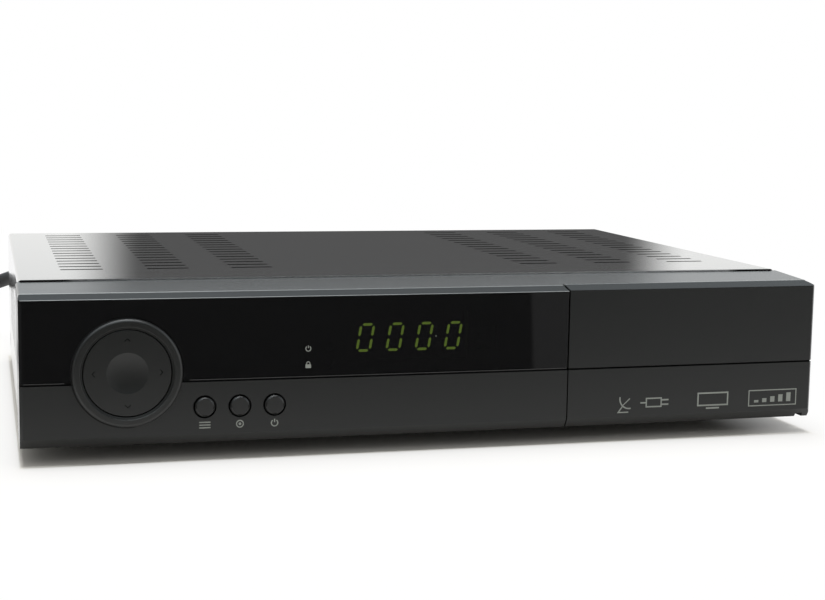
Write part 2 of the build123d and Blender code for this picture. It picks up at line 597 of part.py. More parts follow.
def foot_screws():
    length = TRAY_FLOOR - FOOT_RECESS + 2.0
    return group([Pos(x, y, FOOT_RECESS) * pan_screw(length) for x, y in foot_places()])


def flat_screw(length, around_it=0.0):
    """Countersunk screw along +Z with its head's face at z = 0; around_it widens it for the hole."""
    head, shank = FLAT_HEAD_R + around_it, SCREW_R + around_it
    outline = [(0, 0), (head, 0), (shank, SHEET), (shank, length), (0, length)]
    return revolve(Plane.XZ * make_face(Polyline(*outline, close=True)), Axis.Z)


def at_side(place):
    side, y, z = place
    return Pos(side * COVER_X, y, z) * Rot(0, -90 * side, 0)


def side_screws():
    return group([at_side(place) * flat_screw(6.0) for place in side_screw_places()])


def rear_screws():
    return group([Pos(x, REAR + 0.05, COVER_TOP - COVER_LIP / 2) * Rot(90, 0, 0) * pan_screw(6.0)
                  for x in rear_screw_xs()])


# ------------------------------------------------------------------ controls
def nav_bezel():
    outer, inner = NAV_RING_R, NAV_RING_R - NAV_RING_WIDTH
    back = PLASTIC + FIT_GAP + WINDOW_THICK + SEAT_GAP
    flange = back + 1.4
    return turned_y(NAV_X, NAV_FACE, NAV_Z,
                    [(-NAV_PROUD, outer), (-NAV_PROUD, inner), (NAV_RECESS - NAV_PROUD, NAV_THROAT_R),
                     (flange, NAV_THROAT_R), (flange, outer + 2.0), (back, outer + 2.0), (back, outer)],
                    [(0, NAV_LIP_ROUND), (1, 0.2)])


def nav_post():
    """Fixed fork on the front board that carries the rocker's pivot cross."""
    top = NAV_AXIS_Y + 2.6
    post = rod_y(NAV_X, top, PCB_FACE, NAV_Z, 5.2)
    for side in (-1, 1):
        xs = sorted((NAV_X + side * 3.0, NAV_X + side * 4.4))
        ear = block(xs, (NAV_AXIS_Y, top + 0.5), around(NAV_Z, NAV_EAR_R))
        post += ear + rod_x(*xs, NAV_AXIS_Y, NAV_Z, NAV_EAR_R)
    return post - rod_x(NAV_X - 6, NAV_X + 6, NAV_AXIS_Y, NAV_Z, 0.7 + PIN_CLEARANCE)


def nav_cross():
    """Pivot block with two crossed pairs of pins."""
    centre = block(around(NAV_X, 2.3), (NAV_AXIS_Y - 1.0, NAV_AXIS_Y + 1.2), around(NAV_Z, 2.3))
    pins = rod_x(NAV_X - 4.3, NAV_X + 4.3, NAV_AXIS_Y, NAV_Z, 0.7)
    return centre + pins + rod_z(NAV_X, NAV_AXIS_Y, NAV_Z - 4.3, NAV_Z + 4.3, 0.7)


def nav_rocker():
    front = NAV_RECESS - NAV_PROUD
    wall = 0.8
    dish_r = (NAV_DIMPLE_R ** 2 + NAV_DIMPLE_DEPTH ** 2) / (2 * NAV_DIMPLE_DEPTH)
    r = NAV_ROCKER_R
    cap = turned_y(NAV_X, NAV_FACE, NAV_Z,
                   [(front, 0), (front, r), (3.3, r), (3.3, r - NAV_RIM_WALL), (wall, r - NAV_RIM_WALL), (wall, 0)],
                   [(1, 0.4)])
    cap -= Pos(NAV_X, NAV_FACE + front + NAV_DIMPLE_DEPTH - dish_r, NAV_Z) * Sphere(dish_r)
    for side in (-1, 1):
        zs = sorted((NAV_Z + side * 3.0, NAV_Z + side * 4.4))
        cap += block(around(NAV_X, NAV_EAR_R), (NAV_FACE + wall - 0.2, NAV_AXIS_Y), zs)
        cap += rod_z(NAV_X, NAV_AXIS_Y, *zs, NAV_EAR_R)
    cap -= rod_z(NAV_X, NAV_AXIS_Y, NAV_Z - 6, NAV_Z + 6, 0.7 + PIN_CLEARANCE)
    # four posts that press the switches, just clear of them at full tilt
    post_end = PCB_FACE - TACT_BODY - TACT_PLUNGER - NAV_SWITCH_R * tan(radians(NAV_TILT)) - SEAT_GAP
    for x, z in nav_switch_places():
        cap += rod_y(x, NAV_FACE + wall - 0.2, post_end, z, 1.0)
    # engraved arrow heads near the rim
    for angle in (0, 90, 180, 270):
        cap -= arrow_mark(angle, NAV_FACE + front)
    return cap


def arrow_mark(angle, y):
    """A small engraved chevron pointing outward at the given angle."""
    half, reach, line = 0.9, 0.8, 0.35
    tip = r = 10.6
    outline = [(tip, 0), (r - reach, half), (r - reach - line, half), (tip - line, 0),
               (r - reach - line, -half), (r - reach, -half)]
    face = make_face(Polyline(*outline, close=True))
    cut = extrude(face, 0.2, both=True)
    return Pos(NAV_X, y, NAV_Z) * Rot(0, angle, 0) * Rot(90, 0, 0) * cut


def nav_switch_places():
    return [(NAV_X + NAV_SWITCH_R * cos(radians(a)), NAV_Z + NAV_SWITCH_R * sin(radians(a)))
            for a in (0, 90, 180, 270)]


def tact_switches():
    places = nav_switch_places() + [(x, BASE + BUTTON_HEIGHT) for x in BUTTON_XS]
    switches = []
    for x, z in places:
        body = block(around(x, 3), (PCB_FACE - TACT_BODY, PCB_FACE), around(z, 3))
        switches.append(body + rod_y(x, PCB_FACE - TACT_BODY - TACT_PLUNGER, PCB_FACE - 1, z, 1.7))
    return group(switches)


def push_button(x):
    face = bow(x)
    seat = PLASTIC + SEAT_GAP
    stem_end = FRONT_PCB_DEPTH - TACT_BODY - TACT_PLUNGER - BUTTON_TRAVEL - 0.2 - face
    r = BUTTON_R
    return turned_y(x, FRONT + face, BASE + BUTTON_HEIGHT,
                    [(-BUTTON_PROUD, 0), (-BUTTON_PROUD, r - 0.5), (-BUTTON_PROUD + 0.15, r - 0.15),
                     (-BUTTON_PROUD + 0.5, r), (seat, r), (seat, BUTTON_HOLE_R + 0.9),
                     (seat + 1.0, BUTTON_HOLE_R + 0.9), (seat + 1.0, 1.6), (stem_end, 1.6), (stem_end, 0)])


# ------------------------------------------------------------------ front electronics
def front_pcb():
    zs = [BASE + h for h in FRONT_PCB_HEIGHTS]
    xs = (FRONT_PCB_INSET - HALF_WIDTH, SEAM_LEFT - PLASTIC - 0.6)
    board = block(xs, (PCB_FACE, PCB_FACE + PCB_THICK), zs)
    for x, h in pcb_bosses():
        board -= rod_y(x, PCB_FACE - 1, PCB_FACE + 3, BASE + h, SCREW_R + 0.1)
    return board


def front_pcb_screws():
    return group([Pos(x, PCB_FACE + PCB_THICK + 0.05, BASE + h) * Rot(90, 0, 0) * pan_screw(5.5)
                  for x, h in pcb_bosses()])


def led_display():
    wide, high = DISPLAY_SIZE
    z = BASE + DISPLAY_HEIGHT
    return block(around(DISPLAY_X, wide / 2), (PCB_FACE - DISPLAY_THICK, PCB_FACE),
                 around(z, high / 2))


def indicator_leds():
    return group([turned_y(LED_X, PCB_FACE, BASE + h, [(0, 0), (0, 1.9), (-1, 1.9), (-1, 1.5), (-6.0, 1.5),
                                                      (-7.0, 1.1), (-7.4, 0)]) for h in LED_HEIGHTS])


def ir_receiver():
    z = BASE + IR_HEIGHT
    body = block(around(IR_X, 3.0), (PCB_FACE - 4.4, PCB_FACE), around(z, 3.5))
    return body + rod_y(IR_X, PCB_FACE - 6.2, PCB_FACE - 2, z, 2.4)


def usb_front_board():
    wide, deep = USB_BOARD
    y = FRONT + BAY_DEPTH + PLASTIC + SEAT_GAP
    z = BASE + USB_HEIGHT - 3.6
    return block(around(USB_X, wide / 2), (y, y + deep), (z - PCB_THICK, z))


def usb_front_socket():
    """Type A shell with its tongue, facing forward."""
    y0 = FRONT + BAY_DEPTH - 0.4
    y1 = y0 + 11.5
    z = BASE + USB_HEIGHT
    shell = block(around(USB_X, 7.0), (y0, y1), around(z, 3.55))
    shell -= block(around(USB_X, 6.25), (y0 - 1, y1 - 1.5), around(z, 2.6))
    return shell + block(around(USB_X, 5.6), (y0 + 0.8, y1 - 1), (z + 0.2, z + 2.1))


# ------------------------------------------------------------------ main board and rear connectors
def board_with_holes(xs, length, places):
    board = block(xs, (PCB_BACK - length, PCB_BACK), (PCB_BOTTOM, PCB_TOP))
    return board - [rod_z(x, y, PCB_BOTTOM - 1, PCB_TOP + 1, SCREW_R + 0.1) for x, y in places]


def main_screw_places():
    """Left-hand pair along the board's edge; the right-hand rear one stands ahead of the tuner."""
    left, right = MAIN_PCB_X[0] + BOARD_SCREW_INSET, MAIN_PCB_X[1] - BOARD_SCREW_INSET
    front = MAIN_PCB_FRONT + BOARD_SCREW_INSET
    return [(left, front), (left, PCB_BACK - 34), (right, front), (right, PCB_BACK - TUNER_LENGTH - 6)]


def psu_screw_places():
    return [(x, y) for x in (PSU_PCB_X[0] + BOARD_SCREW_INSET, PSU_PCB_X[1] - BOARD_SCREW_INSET)
            for y in (PSU_PCB_FRONT + BOARD_SCREW_INSET, PCB_BACK - 36)]


def standoffs():
    places = main_screw_places() + psu_screw_places()
    return group([rod_z(x, y, TRAY_FLOOR, PCB_BOTTOM, 3.0) for x, y in places])


def board_screws():
    places = main_screw_places() + psu_screw_places()
    screw = Rot(180, 0, 0) * pan_screw(PCB_THICK + 0.02)
    return group([Pos(x, y, PCB_TOP + 0.05) * screw for x, y in places])


def tuner_can():
    xs = (F_XS[0] - 11, F_XS[1] + 9)
    can = block(xs, (PCB_BACK - TUNER_LENGTH, PCB_BACK - 0.2), (PCB_TOP, PCB_TOP + 15.0))
    can = fillet(can.edges().filter_by(Axis.Z), 1.0)
    # louvres pressed in the lid
    for i in range(6):
        x = xs[0] + 7 + i * 5
        can -= block(around(x, 0.8), (PCB_BACK - 48, PCB_BACK - 14), (PCB_TOP + 14.4, PCB_TOP + 16))
    return can


def f_connectors():
    """Female F sockets: a hex collar inside the panel and a threaded barrel outside."""
    start = PCB_BACK - 0.2
    reach = REAR + F_REACH - start
    z = PCB_TOP + F_HEIGHT
    sockets = []
    for x in F_XS:
        barrel = turned_y(x, start, z, [(0, 0), (0, F_THREAD_R), (reach - 0.6, F_THREAD_R),
                                        (reach, F_THREAD_R - 0.6), (reach, 3.4), (reach - 1.2, 3.0),
                                        (reach - 1.2, 0.6), (reach - 6, 0.6), (reach - 6, 0)])
        nut_y = PANEL_BACK + FIT_GAP
        nut = extrude(Plane.XZ * RegularPolygon(6.4, 6), 2.0)
        nut = Pos(x, nut_y + 2.0, z) * nut
        sockets.append(barrel + nut)
    return group(sockets)


def hdmi_socket():
    y1 = REAR + 0.6
    y0 = y1 - 12.5
    z = PCB_TOP + 3.2
    outer = [(-7.4, 3.0), (7.4, 3.0), (7.4, -0.6), (5.6, -3.0), (-5.6, -3.0), (-7.4, -0.6)]
    inner = [(-6.9, 2.5), (6.9, 2.5), (6.9, -0.4), (5.3, -2.4), (-5.3, -2.4), (-6.9, -0.4)]
    shell = Pos(HDMI_X, y1, z) * extrude(Plane.XZ * make_face(Polyline(*outer, close=True)), y1 - y0)
    shell -= Pos(HDMI_X, y1, z) * extrude(Plane.XZ * make_face(Polyline(*inner, close=True)), y1 - y0 - 2.5)
    return shell + block(around(HDMI_X, 5.0), (y0 + 2, y1 - 1.0), (z - 0.2, z + 1.1))


def rca_barrel(x):
    """One phono jack's metal barrel, from inside the housing block to its open end."""
    start = PANEL_BACK - SHEET - 4.0
    collar = PANEL_BACK + FIT_GAP - start
    reach = REAR + RCA_REACH - start
    return turned_y(x, start, PCB_TOP + RCA_HEIGHT,
                    [(0, 0), (0, RCA_R), (collar, RCA_R), (collar, RCA_R + 0.9), (collar + 1.5, RCA_R + 0.9),
                     (collar + 1.5, RCA_R), (reach, RCA_R), (reach, RCA_R - RCA_WALL),
                     (reach - RCA_BORE, RCA_R - RCA_WALL), (reach - RCA_BORE, 0)])


def rca_barrels():
    return group([rca_barrel(x) for x in RCA_XS])


def rca_inserts():
    """Coloured insulators in the barrels, each with a hole for the plug's pin."""
    mouth = REAR + RCA_REACH - 0.4
    foot = REAR + RCA_REACH - RCA_BORE
    z = PCB_TOP + RCA_HEIGHT
    return group([rod_y(x, foot, mouth, z, RCA_R - RCA_WALL) - rod_y(x, foot + 1, mouth + 1, z, RCA_PIN_R)
                  for x in RCA_XS])


def rca_housings():
    """Plastic bodies of the digital jack and of the three in a row."""
    y0, y1 = PANEL_BACK - SHEET - 13.0, PANEL_BACK - SHEET - 0.3
    single = RCA_SINGLE / 2
    spans = (around(RCA_XS[0], single), (RCA_XS[1] - single - 1, RCA_XS[-1] + single + 1))
    bodies = [block(xs, (y0, y1), (PCB_TOP, PCB_TOP + 2 * RCA_HEIGHT - 2)) for xs in spans]
    bores = [rod_y(x, PANEL_BACK - SHEET - 4.0, y1 + 1, PCB_TOP + RCA_HEIGHT, RCA_R) for x in RCA_XS]
    return group([body - bores for body in bodies])


def serial_port():
    """Nine-way D connector: flange against the panel, D-shaped shell through it."""
    z = PCB_TOP + 6.2
    flange_y = PANEL_BACK - SHEET - 0.2
    flange = block(around(SERIAL_X, 15.4), (flange_y - 1.0, flange_y), around(z, 6.2))
    body = block(around(SERIAL_X, 9.5), (flange_y - 11, flange_y - 0.5), (z - 6.2, z + 4.0))
    outline = [(-9.0, 4.2), (9.0, 4.2), (7.4, -4.2), (-7.4, -4.2)]
    face = fillet(make_face(Polyline(*outline, close=True)).vertices(), 1.6)
    length = PANEL_BACK + 5.2 - flange_y
    shell = Pos(SERIAL_X, PANEL_BACK + 5.2, z) * extrude(Plane.XZ * face, length + 0.5)
    port = flange + body + shell
    for row, count in ((1.4, 5), (-1.4, 4)):
        for i in range(count):
            x = SERIAL_X + (i - (count - 1) / 2) * 2.77
            port -= rod_y(x, PANEL_BACK + 1, PANEL_BACK + 6, z + row, 0.5)
    return port


def serial_hex_posts():
    """Jack posts that hold the serial port to the panel."""
    z = PCB_TOP + 6.2
    posts = []
    for side in (-1, 1):
        x = SERIAL_X + side * 12.5
        post = Pos(x, PANEL_BACK + FIT_GAP + 4.8, z) * extrude(Plane.XZ * RegularPolygon(2.9, 6), 4.8)
        posts.append(post - rod_y(x, PANEL_BACK + 1.5, PANEL_BACK + 6, z, 1.3))
    return group(posts)


def heatsink():
    """Finned block on the main processor."""
    half, foot = SINK_SIZE / 2, PCB_TOP + 2.2
    ys = around(SINK_Y, half)
    sink = block(around(SINK_X, half), ys, (foot, foot + 2.2))
    for i in range(SINK_FIN_COUNT):
        x = SINK_X + (i - (SINK_FIN_COUNT - 1) / 2) * SINK_FIN_PITCH
        sink += block(around(x, SINK_FIN_THICK / 2), ys, (foot + 2, PCB_TOP + SINK_HEIGHT))
    return sink


def board_chips():
    """Processor under the heatsink, with a memory on each side of it."""
    chips = [(0, 22.0, 22.0, 2.1), (27.0, 10.0, 18.0, 1.2), (-32.0, 12.0, 20.0, 1.2)]
    return group([block(around(SINK_X + dx, w / 2), around(SINK_Y, d / 2),
                        (PCB_TOP, PCB_TOP + h)) for dx, w, d, h in chips])


def can_capacitor(x, y, r, h):
    """Electrolytic capacitor: a can with its rolled groove near the foot."""
    return turned_z(x, y, PCB_TOP, [(0, 0), (r - 0.2, 0), (r, 0.6), (r, 1.8), (r - 0.35, 2.2), (r, 2.6),
                                    (r, h - 0.5), (r - 0.5, h), (0, h)])


def board_capacitors():
    y = MAIN_PCB_FRONT + CAPACITORS_BACK
    xs = (MAIN_PCB_X[0] + 18, MAIN_PCB_X[0] + 32, SINK_X + 30)
    return group([can_capacitor(x, y, 4.0, 11.5) for x in xs])


def psu_transformer():
    """Ferrite core with the bobbin between its legs."""
    x, y = PSU_PCB_X[0] + 30, PCB_BACK - 52.0
    core = block(around(x, 13), around(y, 6), (PCB_TOP + 2, PCB_TOP + 24))
    bobbin = block(around(x, 9.5), around(y, 12), (PCB_TOP + 4.5, PCB_TOP + 21.5))
    foot = block(around(x, 12), around(y, 13), (PCB_TOP, PCB_TOP + 3))
    return core + fillet(bobbin.edges().filter_by(Axis.Z), 4.0) + foot


def psu_capacitors():
    """The mains reservoir and two smaller ones on the low-voltage side."""
    left, y = PSU_PCB_X[0], PSU_PCB_FRONT + 2 * CAPACITORS_BACK
    return group([can_capacitor(left + 18, y, 8.0, 27.0), can_capacitor(left + 40, y, 5.0, 20.0),
                  can_capacitor(left + 40, y - 14, 5.0, 20.0)])


def psu_fuse():
    x, y = PSU_PCB_X[0] + 16, PCB_BACK - 24.0
    tube = rod_y(x, y - 10, y + 10, PCB_TOP + 5.0, 2.6)
    clips = [block(around(x, 3.2), around(y + s, 3), (PCB_TOP, PCB_TOP + 4.0)) for s in (-7, 7)]
    return tube + clips


def insulation_sheet():
    sheet = block((PSU_PCB_X[0] - 1, PSU_PCB_X[1] + 2), (PCB_BACK - PSU_PCB_LENGTH - 2, PCB_BACK),
                  (TRAY_FLOOR, TRAY_FLOOR + 0.4))
    return sheet - [rod_z(x, y, 0, PCB_TOP, 3.4) for x, y in psu_screw_places() + foot_places()]


# ------------------------------------------------------------------ leads between the boards
RIBBON_X = MAIN_PCB_X[0] + 32
RIBBON_Z = BASE + 21.4
RIBBON_Y = MAIN_PCB_FRONT + HEADER_WIDTH / 2 + 3
POWER_XS = (PSU_PCB_X[1] - 6, MAIN_PCB_X[0] + 8)
POWER_Y = MAIN_PCB_FRONT + CAPACITORS_BACK + 1


def board_headers():
    """White sockets: the ribbon's two, on the front and main boards, and the power lead's two."""
    half, deep = HEADER_LENGTH, HEADER_WIDTH / 2
    back = PCB_FACE + PCB_THICK
    headers = [block(around(RIBBON_X, half), (back, back + HEADER_HEIGHT), around(RIBBON_Z, deep)),
               block(around(RIBBON_X, half), around(RIBBON_Y, deep),
                     (PCB_TOP, PCB_TOP + HEADER_HEIGHT))]
    for x in POWER_XS:
        headers.append(block(around(x, deep), around(POWER_Y, half / 2),
                             (PCB_TOP, PCB_TOP + HEADER_HEIGHT)))
    return group(headers)


def ribbon_cable():
    """Flat lead from the front board, through the tray's front flange, to the main board."""
    t = RIBBON_THICK / 2
    start, drop = PCB_FACE + PCB_THICK + HEADER_HEIGHT, RIBBON_Z - 3
    line = Polyline((start, RIBBON_Z), (TRAY_FRONT + 14, RIBBON_Z), (RIBBON_Y - 22, drop), (RIBBON_Y - 5, drop),
                    (RIBBON_Y, drop - 4), (RIBBON_Y, PCB_TOP + HEADER_HEIGHT))
    strip = trace(line, line_width=2 * t)
    ribbon = extrude(Plane.YZ.offset(RIBBON_X - RIBBON_WIDTH / 2) * strip, RIBBON_WIDTH)
    # the ends stop flush with the two headers
    keep = block(around(RIBBON_X, RIBBON_WIDTH), (start, RIBBON_Y + 5),
                 (PCB_TOP + HEADER_HEIGHT, RIBBON_Z + 5))
    return ribbon & keep


def power_leads():
    """Round wires that arch from the power supply's header to the main board's."""
    foot = PCB_TOP + HEADER_HEIGHT
    wires = []
    for i in range(WIRE_COUNT):
        y = POWER_Y + (i - (WIRE_COUNT - 1) / 2) * WIRE_PITCH
        path = FilletPolyline((POWER_XS[0], y, foot), (POWER_XS[0], y, foot + 9), (POWER_XS[1], y, foot + 9),
                              (POWER_XS[1], y, foot), radius=5.0)
        wires.append(sweep(Plane(origin=path @ 0, z_dir=path % 0) * Circle(WIRE_D / 2), path=path))
    return group(wires)


# ------------------------------------------------------------------ mains switch
def switch_body():
    wide, high = SWITCH_FACE
    z = BASE + SWITCH_HEIGHT
    xs = around(SWITCH_X, wide / 2)
    face = block(xs, (PANEL_BACK + FIT_GAP, PANEL_BACK + 1.8), around(z, high / 2))
    face = chamfer(face.edges().group_by(Axis.Y)[-1], 0.6)
    case = block((xs[0] + 1.2, xs[1] - 1.2), (PANEL_BACK - 16, PANEL_BACK + 1),
                 (z - high / 2 + 1.2, z + high / 2 - 1.2))
    pivot_y = PANEL_BACK - SWITCH_PIVOT_BACK
    well = rod_z(SWITCH_X, pivot_y, z - 5.6, z + 5.6, SWITCH_ROCKER_R + 0.2)
    shell = face + case - well
    return shell - rod_z(SWITCH_X, pivot_y, z - 6.3, z + 6.3, 1.0 + PIN_CLEARANCE)


def switch_rocker():
    """Rocker seen from above: round back, two flat halves that meet in a shallow V, one half pressed in."""
    z = BASE + SWITCH_HEIGHT
    r = SWITCH_ROCKER_R
    rise = tan(radians(SWITCH_TILT)) * r
    ridge = 2.2
    outline = [(-r, ridge + rise), (0, ridge), (r, ridge + rise), (r, -2.0), (-r, -2.0)]
    face = make_face(Polyline(*outline, close=True)) & Circle(r)
    paddle = extrude(face, 5.2, both=True)
    paddle += Cylinder(1.0, 12.2)
    return Pos(SWITCH_X, PANEL_BACK - SWITCH_PIVOT_BACK, z) * Rot(0, 0, -SWITCH_TILT) * paddle


# ------------------------------------------------------------------ mains lead
CORD_Z = BASE + CORD_HEIGHT
RELIEF_END = PANEL_BACK + RELIEF_REACH
CORD_R = CORD_D / 2
COIL_CENTRE = (CORD_X - COIL_ASIDE, RELIEF_END - COIL_FORWARD)
COIL_HALF_WIDTH = COIL_TURNS_WIDE * CORD_D / 2
COIL_OUTER_TURN = COIL_MEAN_R + COIL_HALF_WIDTH - CORD_R


def cord_route():
    """The lead from its sleeve round the corner of the box and down to the coil's outer turn."""
    x, y = CORD_X, RELIEF_END
    side = COIL_CENTRE[0] - COIL_OUTER_TURN
    return [(x, y, CORD_Z), (x, y + 15.2, CORD_Z), (x - 5.5, y + 31.2, 28.6), (x - 18.5, y + 43.2, 22.6),
            (x - 37.0, y + 48.7, 16.5), (x - 56.5, y + 47.2, 10.5), (x - 76.0, y + 40.2, 5.9),
            (x - 94.0, y + 27.7, 3.4), (side + 6.0, y + 7.2, CORD_R), (side, y - 13.8, CORD_R),
            (side, COIL_CENTRE[1], CORD_R)]


def tail_route():
    """From the coil's top turn down to the plug, which lies on the surface."""
    x = COIL_CENTRE[0] + COIL_OUTER_TURN * cos(radians(COIL_EXIT))
    y = COIL_CENTRE[1] + COIL_OUTER_TURN * sin(radians(COIL_EXIT))
    low = PLUG_SIZE[1] / 2
    return [(x, y, CORD_R + CORD_D), (x + 10.6, y - 10.6, CORD_R + CORD_D), (x + 18.2, y - 24.8, low),
            (x + 21.0, y - 40.6, low)]


def corner_radii(points):
    """Each arc takes 0.45 of its shorter run."""
    radii = []
    for a, b, c in zip(points, points[1:], points[2:]):
        first, second = Vector(*b) - Vector(*a), Vector(*c) - Vector(*b)
        turn = radians(first.get_angle(second))
        radii.append(0.45 * min(first.length, second.length) / tan(turn / 2))
    return radii


def cord_path(points):
    return FilletPolyline(*points, radius=corner_radii(points))


def cord_tube(points):
    print("cord corner radii:", [round(r, 1) for r in corner_radii(points)])
    path = cord_path(points)
    start = Plane(origin=path @ 0, z_dir=path % 0)
    tube = sweep(start * Circle(CORD_R), path=path)
    print("cord length:", round(path.length, 1), " volume check:",
          round(tube.volume / (pi * CORD_R ** 2 * path.length), 4))
    return tube


def strain_relief():
    """Moulded sleeve: a head inside the panel, a neck in its hole and a ribbed taper outside."""
    r, tip = RELIEF_R, CORD_R + 0.9
    length = RELIEF_REACH
    outline = [(-4.5, 0), (-4.5, r + 0.6), (-1.2, r + 0.6), (-1.2, r - 1.1), (0.2, r - 1.1), (0.2, r + 0.9),
               (3.0, r + 0.9), (3.6, r)]
    ribs, first = 6, 5.0
    pitch = (length - first) / ribs
    for i in range(ribs):
        d = first + i * pitch
        here = r + (tip - r) * d / length
        outline += [(d, here), (d, here - 0.7), (d + pitch * 0.4, here - 0.7), (d + pitch * 0.4, here)]
    outline += [(length, tip), (length, 0)]
    sleeve = turned_y(CORD_X, PANEL_BACK, CORD_Z, outline)
    return sleeve


def coil_height():
    """The lead that its two free runs leave over, in turns side by side and in layers."""
    free = sum(cord_path(route).length for route in (cord_route(), tail_route()))
    turns = (CORD_LENGTH - free) / (2 * pi * COIL_MEAN_R)
    print("coil turns:", round(turns, 3))
    return CORD_D * ceil(turns / COIL_TURNS_WIDE)


def cord_coil():
    """Outer shape of the coiled lead."""
    high = coil_height()
    cx, cy = COIL_CENTRE
    inner, outer = COIL_MEAN_R - COIL_HALF_WIDTH, COIL_MEAN_R + COIL_HALF_WIDTH
    c = CORD_R * 0.8
    return turned_z(cx, cy, 0, [(inner + c, 0), (outer - c, 0), (outer, c), (outer, high - c),
                                (outer - c, high), (inner + c, high), (inner, high - c), (inner, c)])


def coil_tie():
    """Twist tie round the coil, on its front side."""
    half = COIL_HALF_WIDTH + 0.1
    high = coil_height() + 0.1
    cx, cy = COIL_CENTRE
    y = cy - COIL_MEAN_R
    strap = block(around(cx, 2.5), (y - half - 1, y + half + 1), (0, high + 1))
    return strap - cord_coil()


def plug_plane():
    """Where the lead enters the plug, with Z along the plug and Y up."""
    before, end = tail_route()[-2:]
    heading = Vector(end[0] - before[0], end[1] - before[1], 0).normalized()
    return Plane(origin=end, x_dir=Vector(-heading.Y, heading.X, 0), z_dir=heading)


def plug_body():
    """Flat two-pin mains plug, lead end first."""
    plane = plug_plane()
    neck = loft([plane * Circle(CORD_R + 0.6), plane.offset(PLUG_NECK) * SlotOverall(PLUG_SIZE[0] / 2, 7.0)])
    grip = loft([plane.offset(PLUG_NECK) * SlotOverall(PLUG_SIZE[0] / 2, 7.0),
                 plane.offset(PLUG_SHOULDER) * SlotOverall(*PLUG_SIZE)])
    head = extrude(plane.offset(PLUG_SHOULDER) * SlotOverall(*PLUG_SIZE), PLUG_LENGTH - PLUG_SHOULDER)
    return neck + grip + head


def plug_pins():
    face = plug_plane().offset(PLUG_LENGTH)
    return group([extrude(face * Pos(side * PLUG_PIN_SPACING / 2, 0) * Circle(PLUG_PIN_R), PLUG_PIN_LENGTH)
                  for side in (-1, 1)])


# ------------------------------------------------------------------ export
NODES = {
    "front_fascia": front_fascia,
    "display_window": display_window,
    "flap_door": flap_door,
    "top_cover": top_cover,
    "base_tray": tray,
    "rubber_feet": feet,
    "foot_screws": foot_screws,
    "cover_side_screws": side_screws,
    "cover_rear_screws": rear_screws,
    "nav_bezel_ring": nav_bezel,
    "nav_pivot_post": nav_post,
    "nav_pivot_cross": nav_cross,
    "nav_rocker": nav_rocker,
    "tact_switches": tact_switches,
    "menu_button": lambda: push_button(BUTTON_XS[0]),
    "ok_button": lambda: push_button(BUTTON_XS[1]),
    "power_button": lambda: push_button(BUTTON_XS[2]),
    "front_pcb": front_pcb,
    "front_pcb_screws": front_pcb_screws,
    "led_display": led_display,
    "indicator_leds": indicator_leds,
    "ir_receiver": ir_receiver,
    "usb_front_board": usb_front_board,
    "usb_front_socket": usb_front_socket,
    "main_pcb": lambda: board_with_holes(MAIN_PCB_X, MAIN_PCB_LENGTH, main_screw_places()),
    "psu_pcb": lambda: board_with_holes(PSU_PCB_X, PSU_PCB_LENGTH, psu_screw_places()),
    "board_standoffs": standoffs,
    "board_screws": board_screws,
    "tuner_can": tuner_can,
    "f_connectors": f_connectors,
    "hdmi_socket": hdmi_socket,
    "rca_barrels": rca_barrels,
    "rca_inserts": rca_inserts,
    "rca_housings": rca_housings,
    "serial_port": serial_port,
    "serial_hex_posts": serial_hex_posts,
    "processor_heatsink": heatsink,
    "board_chips": board_chips,
    "board_capacitors": board_capacitors,
    "psu_transformer": psu_transformer,
    "psu_capacitors": psu_capacitors,
    "psu_fuse": psu_fuse,
    "insulation_sheet": insulation_sheet,
    "board_headers": board_headers,
    "ribbon_cable": ribbon_cable,
    "power_leads": power_leads,
    "mains_switch_body": switch_body,
    "mains_switch_rocker": switch_rocker,
    "cord_strain_relief": strain_relief,
    "mains_cord": lambda: cord_tube(cord_route()),
    "cord_coil": cord_coil,
    "coil_tie": coil_tie,
    "plug_tail_cord": lambda: cord_tube(tail_route()),
    "plug_body": plug_body,
    "plug_pins": plug_pins,
}

os.makedirs("parts", exist_ok=True)
for name, make in NODES.items():
    export_step(make(), f"parts/{name}.step")
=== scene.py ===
import json
import math

import bmesh
import bpy
from mathutils import Matrix, Vector


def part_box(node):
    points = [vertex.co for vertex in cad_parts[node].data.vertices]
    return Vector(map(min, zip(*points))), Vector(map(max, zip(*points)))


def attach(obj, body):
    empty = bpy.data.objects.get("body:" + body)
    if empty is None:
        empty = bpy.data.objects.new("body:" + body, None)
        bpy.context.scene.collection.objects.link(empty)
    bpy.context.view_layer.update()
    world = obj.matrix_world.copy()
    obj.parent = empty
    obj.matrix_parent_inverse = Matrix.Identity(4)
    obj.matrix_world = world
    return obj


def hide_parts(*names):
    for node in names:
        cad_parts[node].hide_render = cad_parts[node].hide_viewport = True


# Looks of a low satellite receiver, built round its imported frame.
# Metres; +Z is up and the front looks toward -Y.
# Outlines, profiles and routes are in millimetres; MM turns them into metres.
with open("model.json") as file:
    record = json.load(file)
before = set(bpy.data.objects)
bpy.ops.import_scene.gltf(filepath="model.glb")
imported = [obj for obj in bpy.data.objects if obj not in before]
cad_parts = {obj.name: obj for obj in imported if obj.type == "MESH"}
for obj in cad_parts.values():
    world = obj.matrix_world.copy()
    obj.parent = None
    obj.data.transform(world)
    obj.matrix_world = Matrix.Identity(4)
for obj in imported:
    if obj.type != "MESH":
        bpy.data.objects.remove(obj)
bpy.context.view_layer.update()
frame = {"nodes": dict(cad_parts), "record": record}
NODES = frame["nodes"]
MM = 0.001
X, Y, Z = Vector((1, 0, 0)), Vector((0, 1, 0)), Vector((0, 0, 1))
MATERIALS = {}            # every material by the name that it is made with


# ------------------------------------------------------------------ places taken from the frame
def middle(name):
    low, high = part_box(name)
    return (low + high) / 2


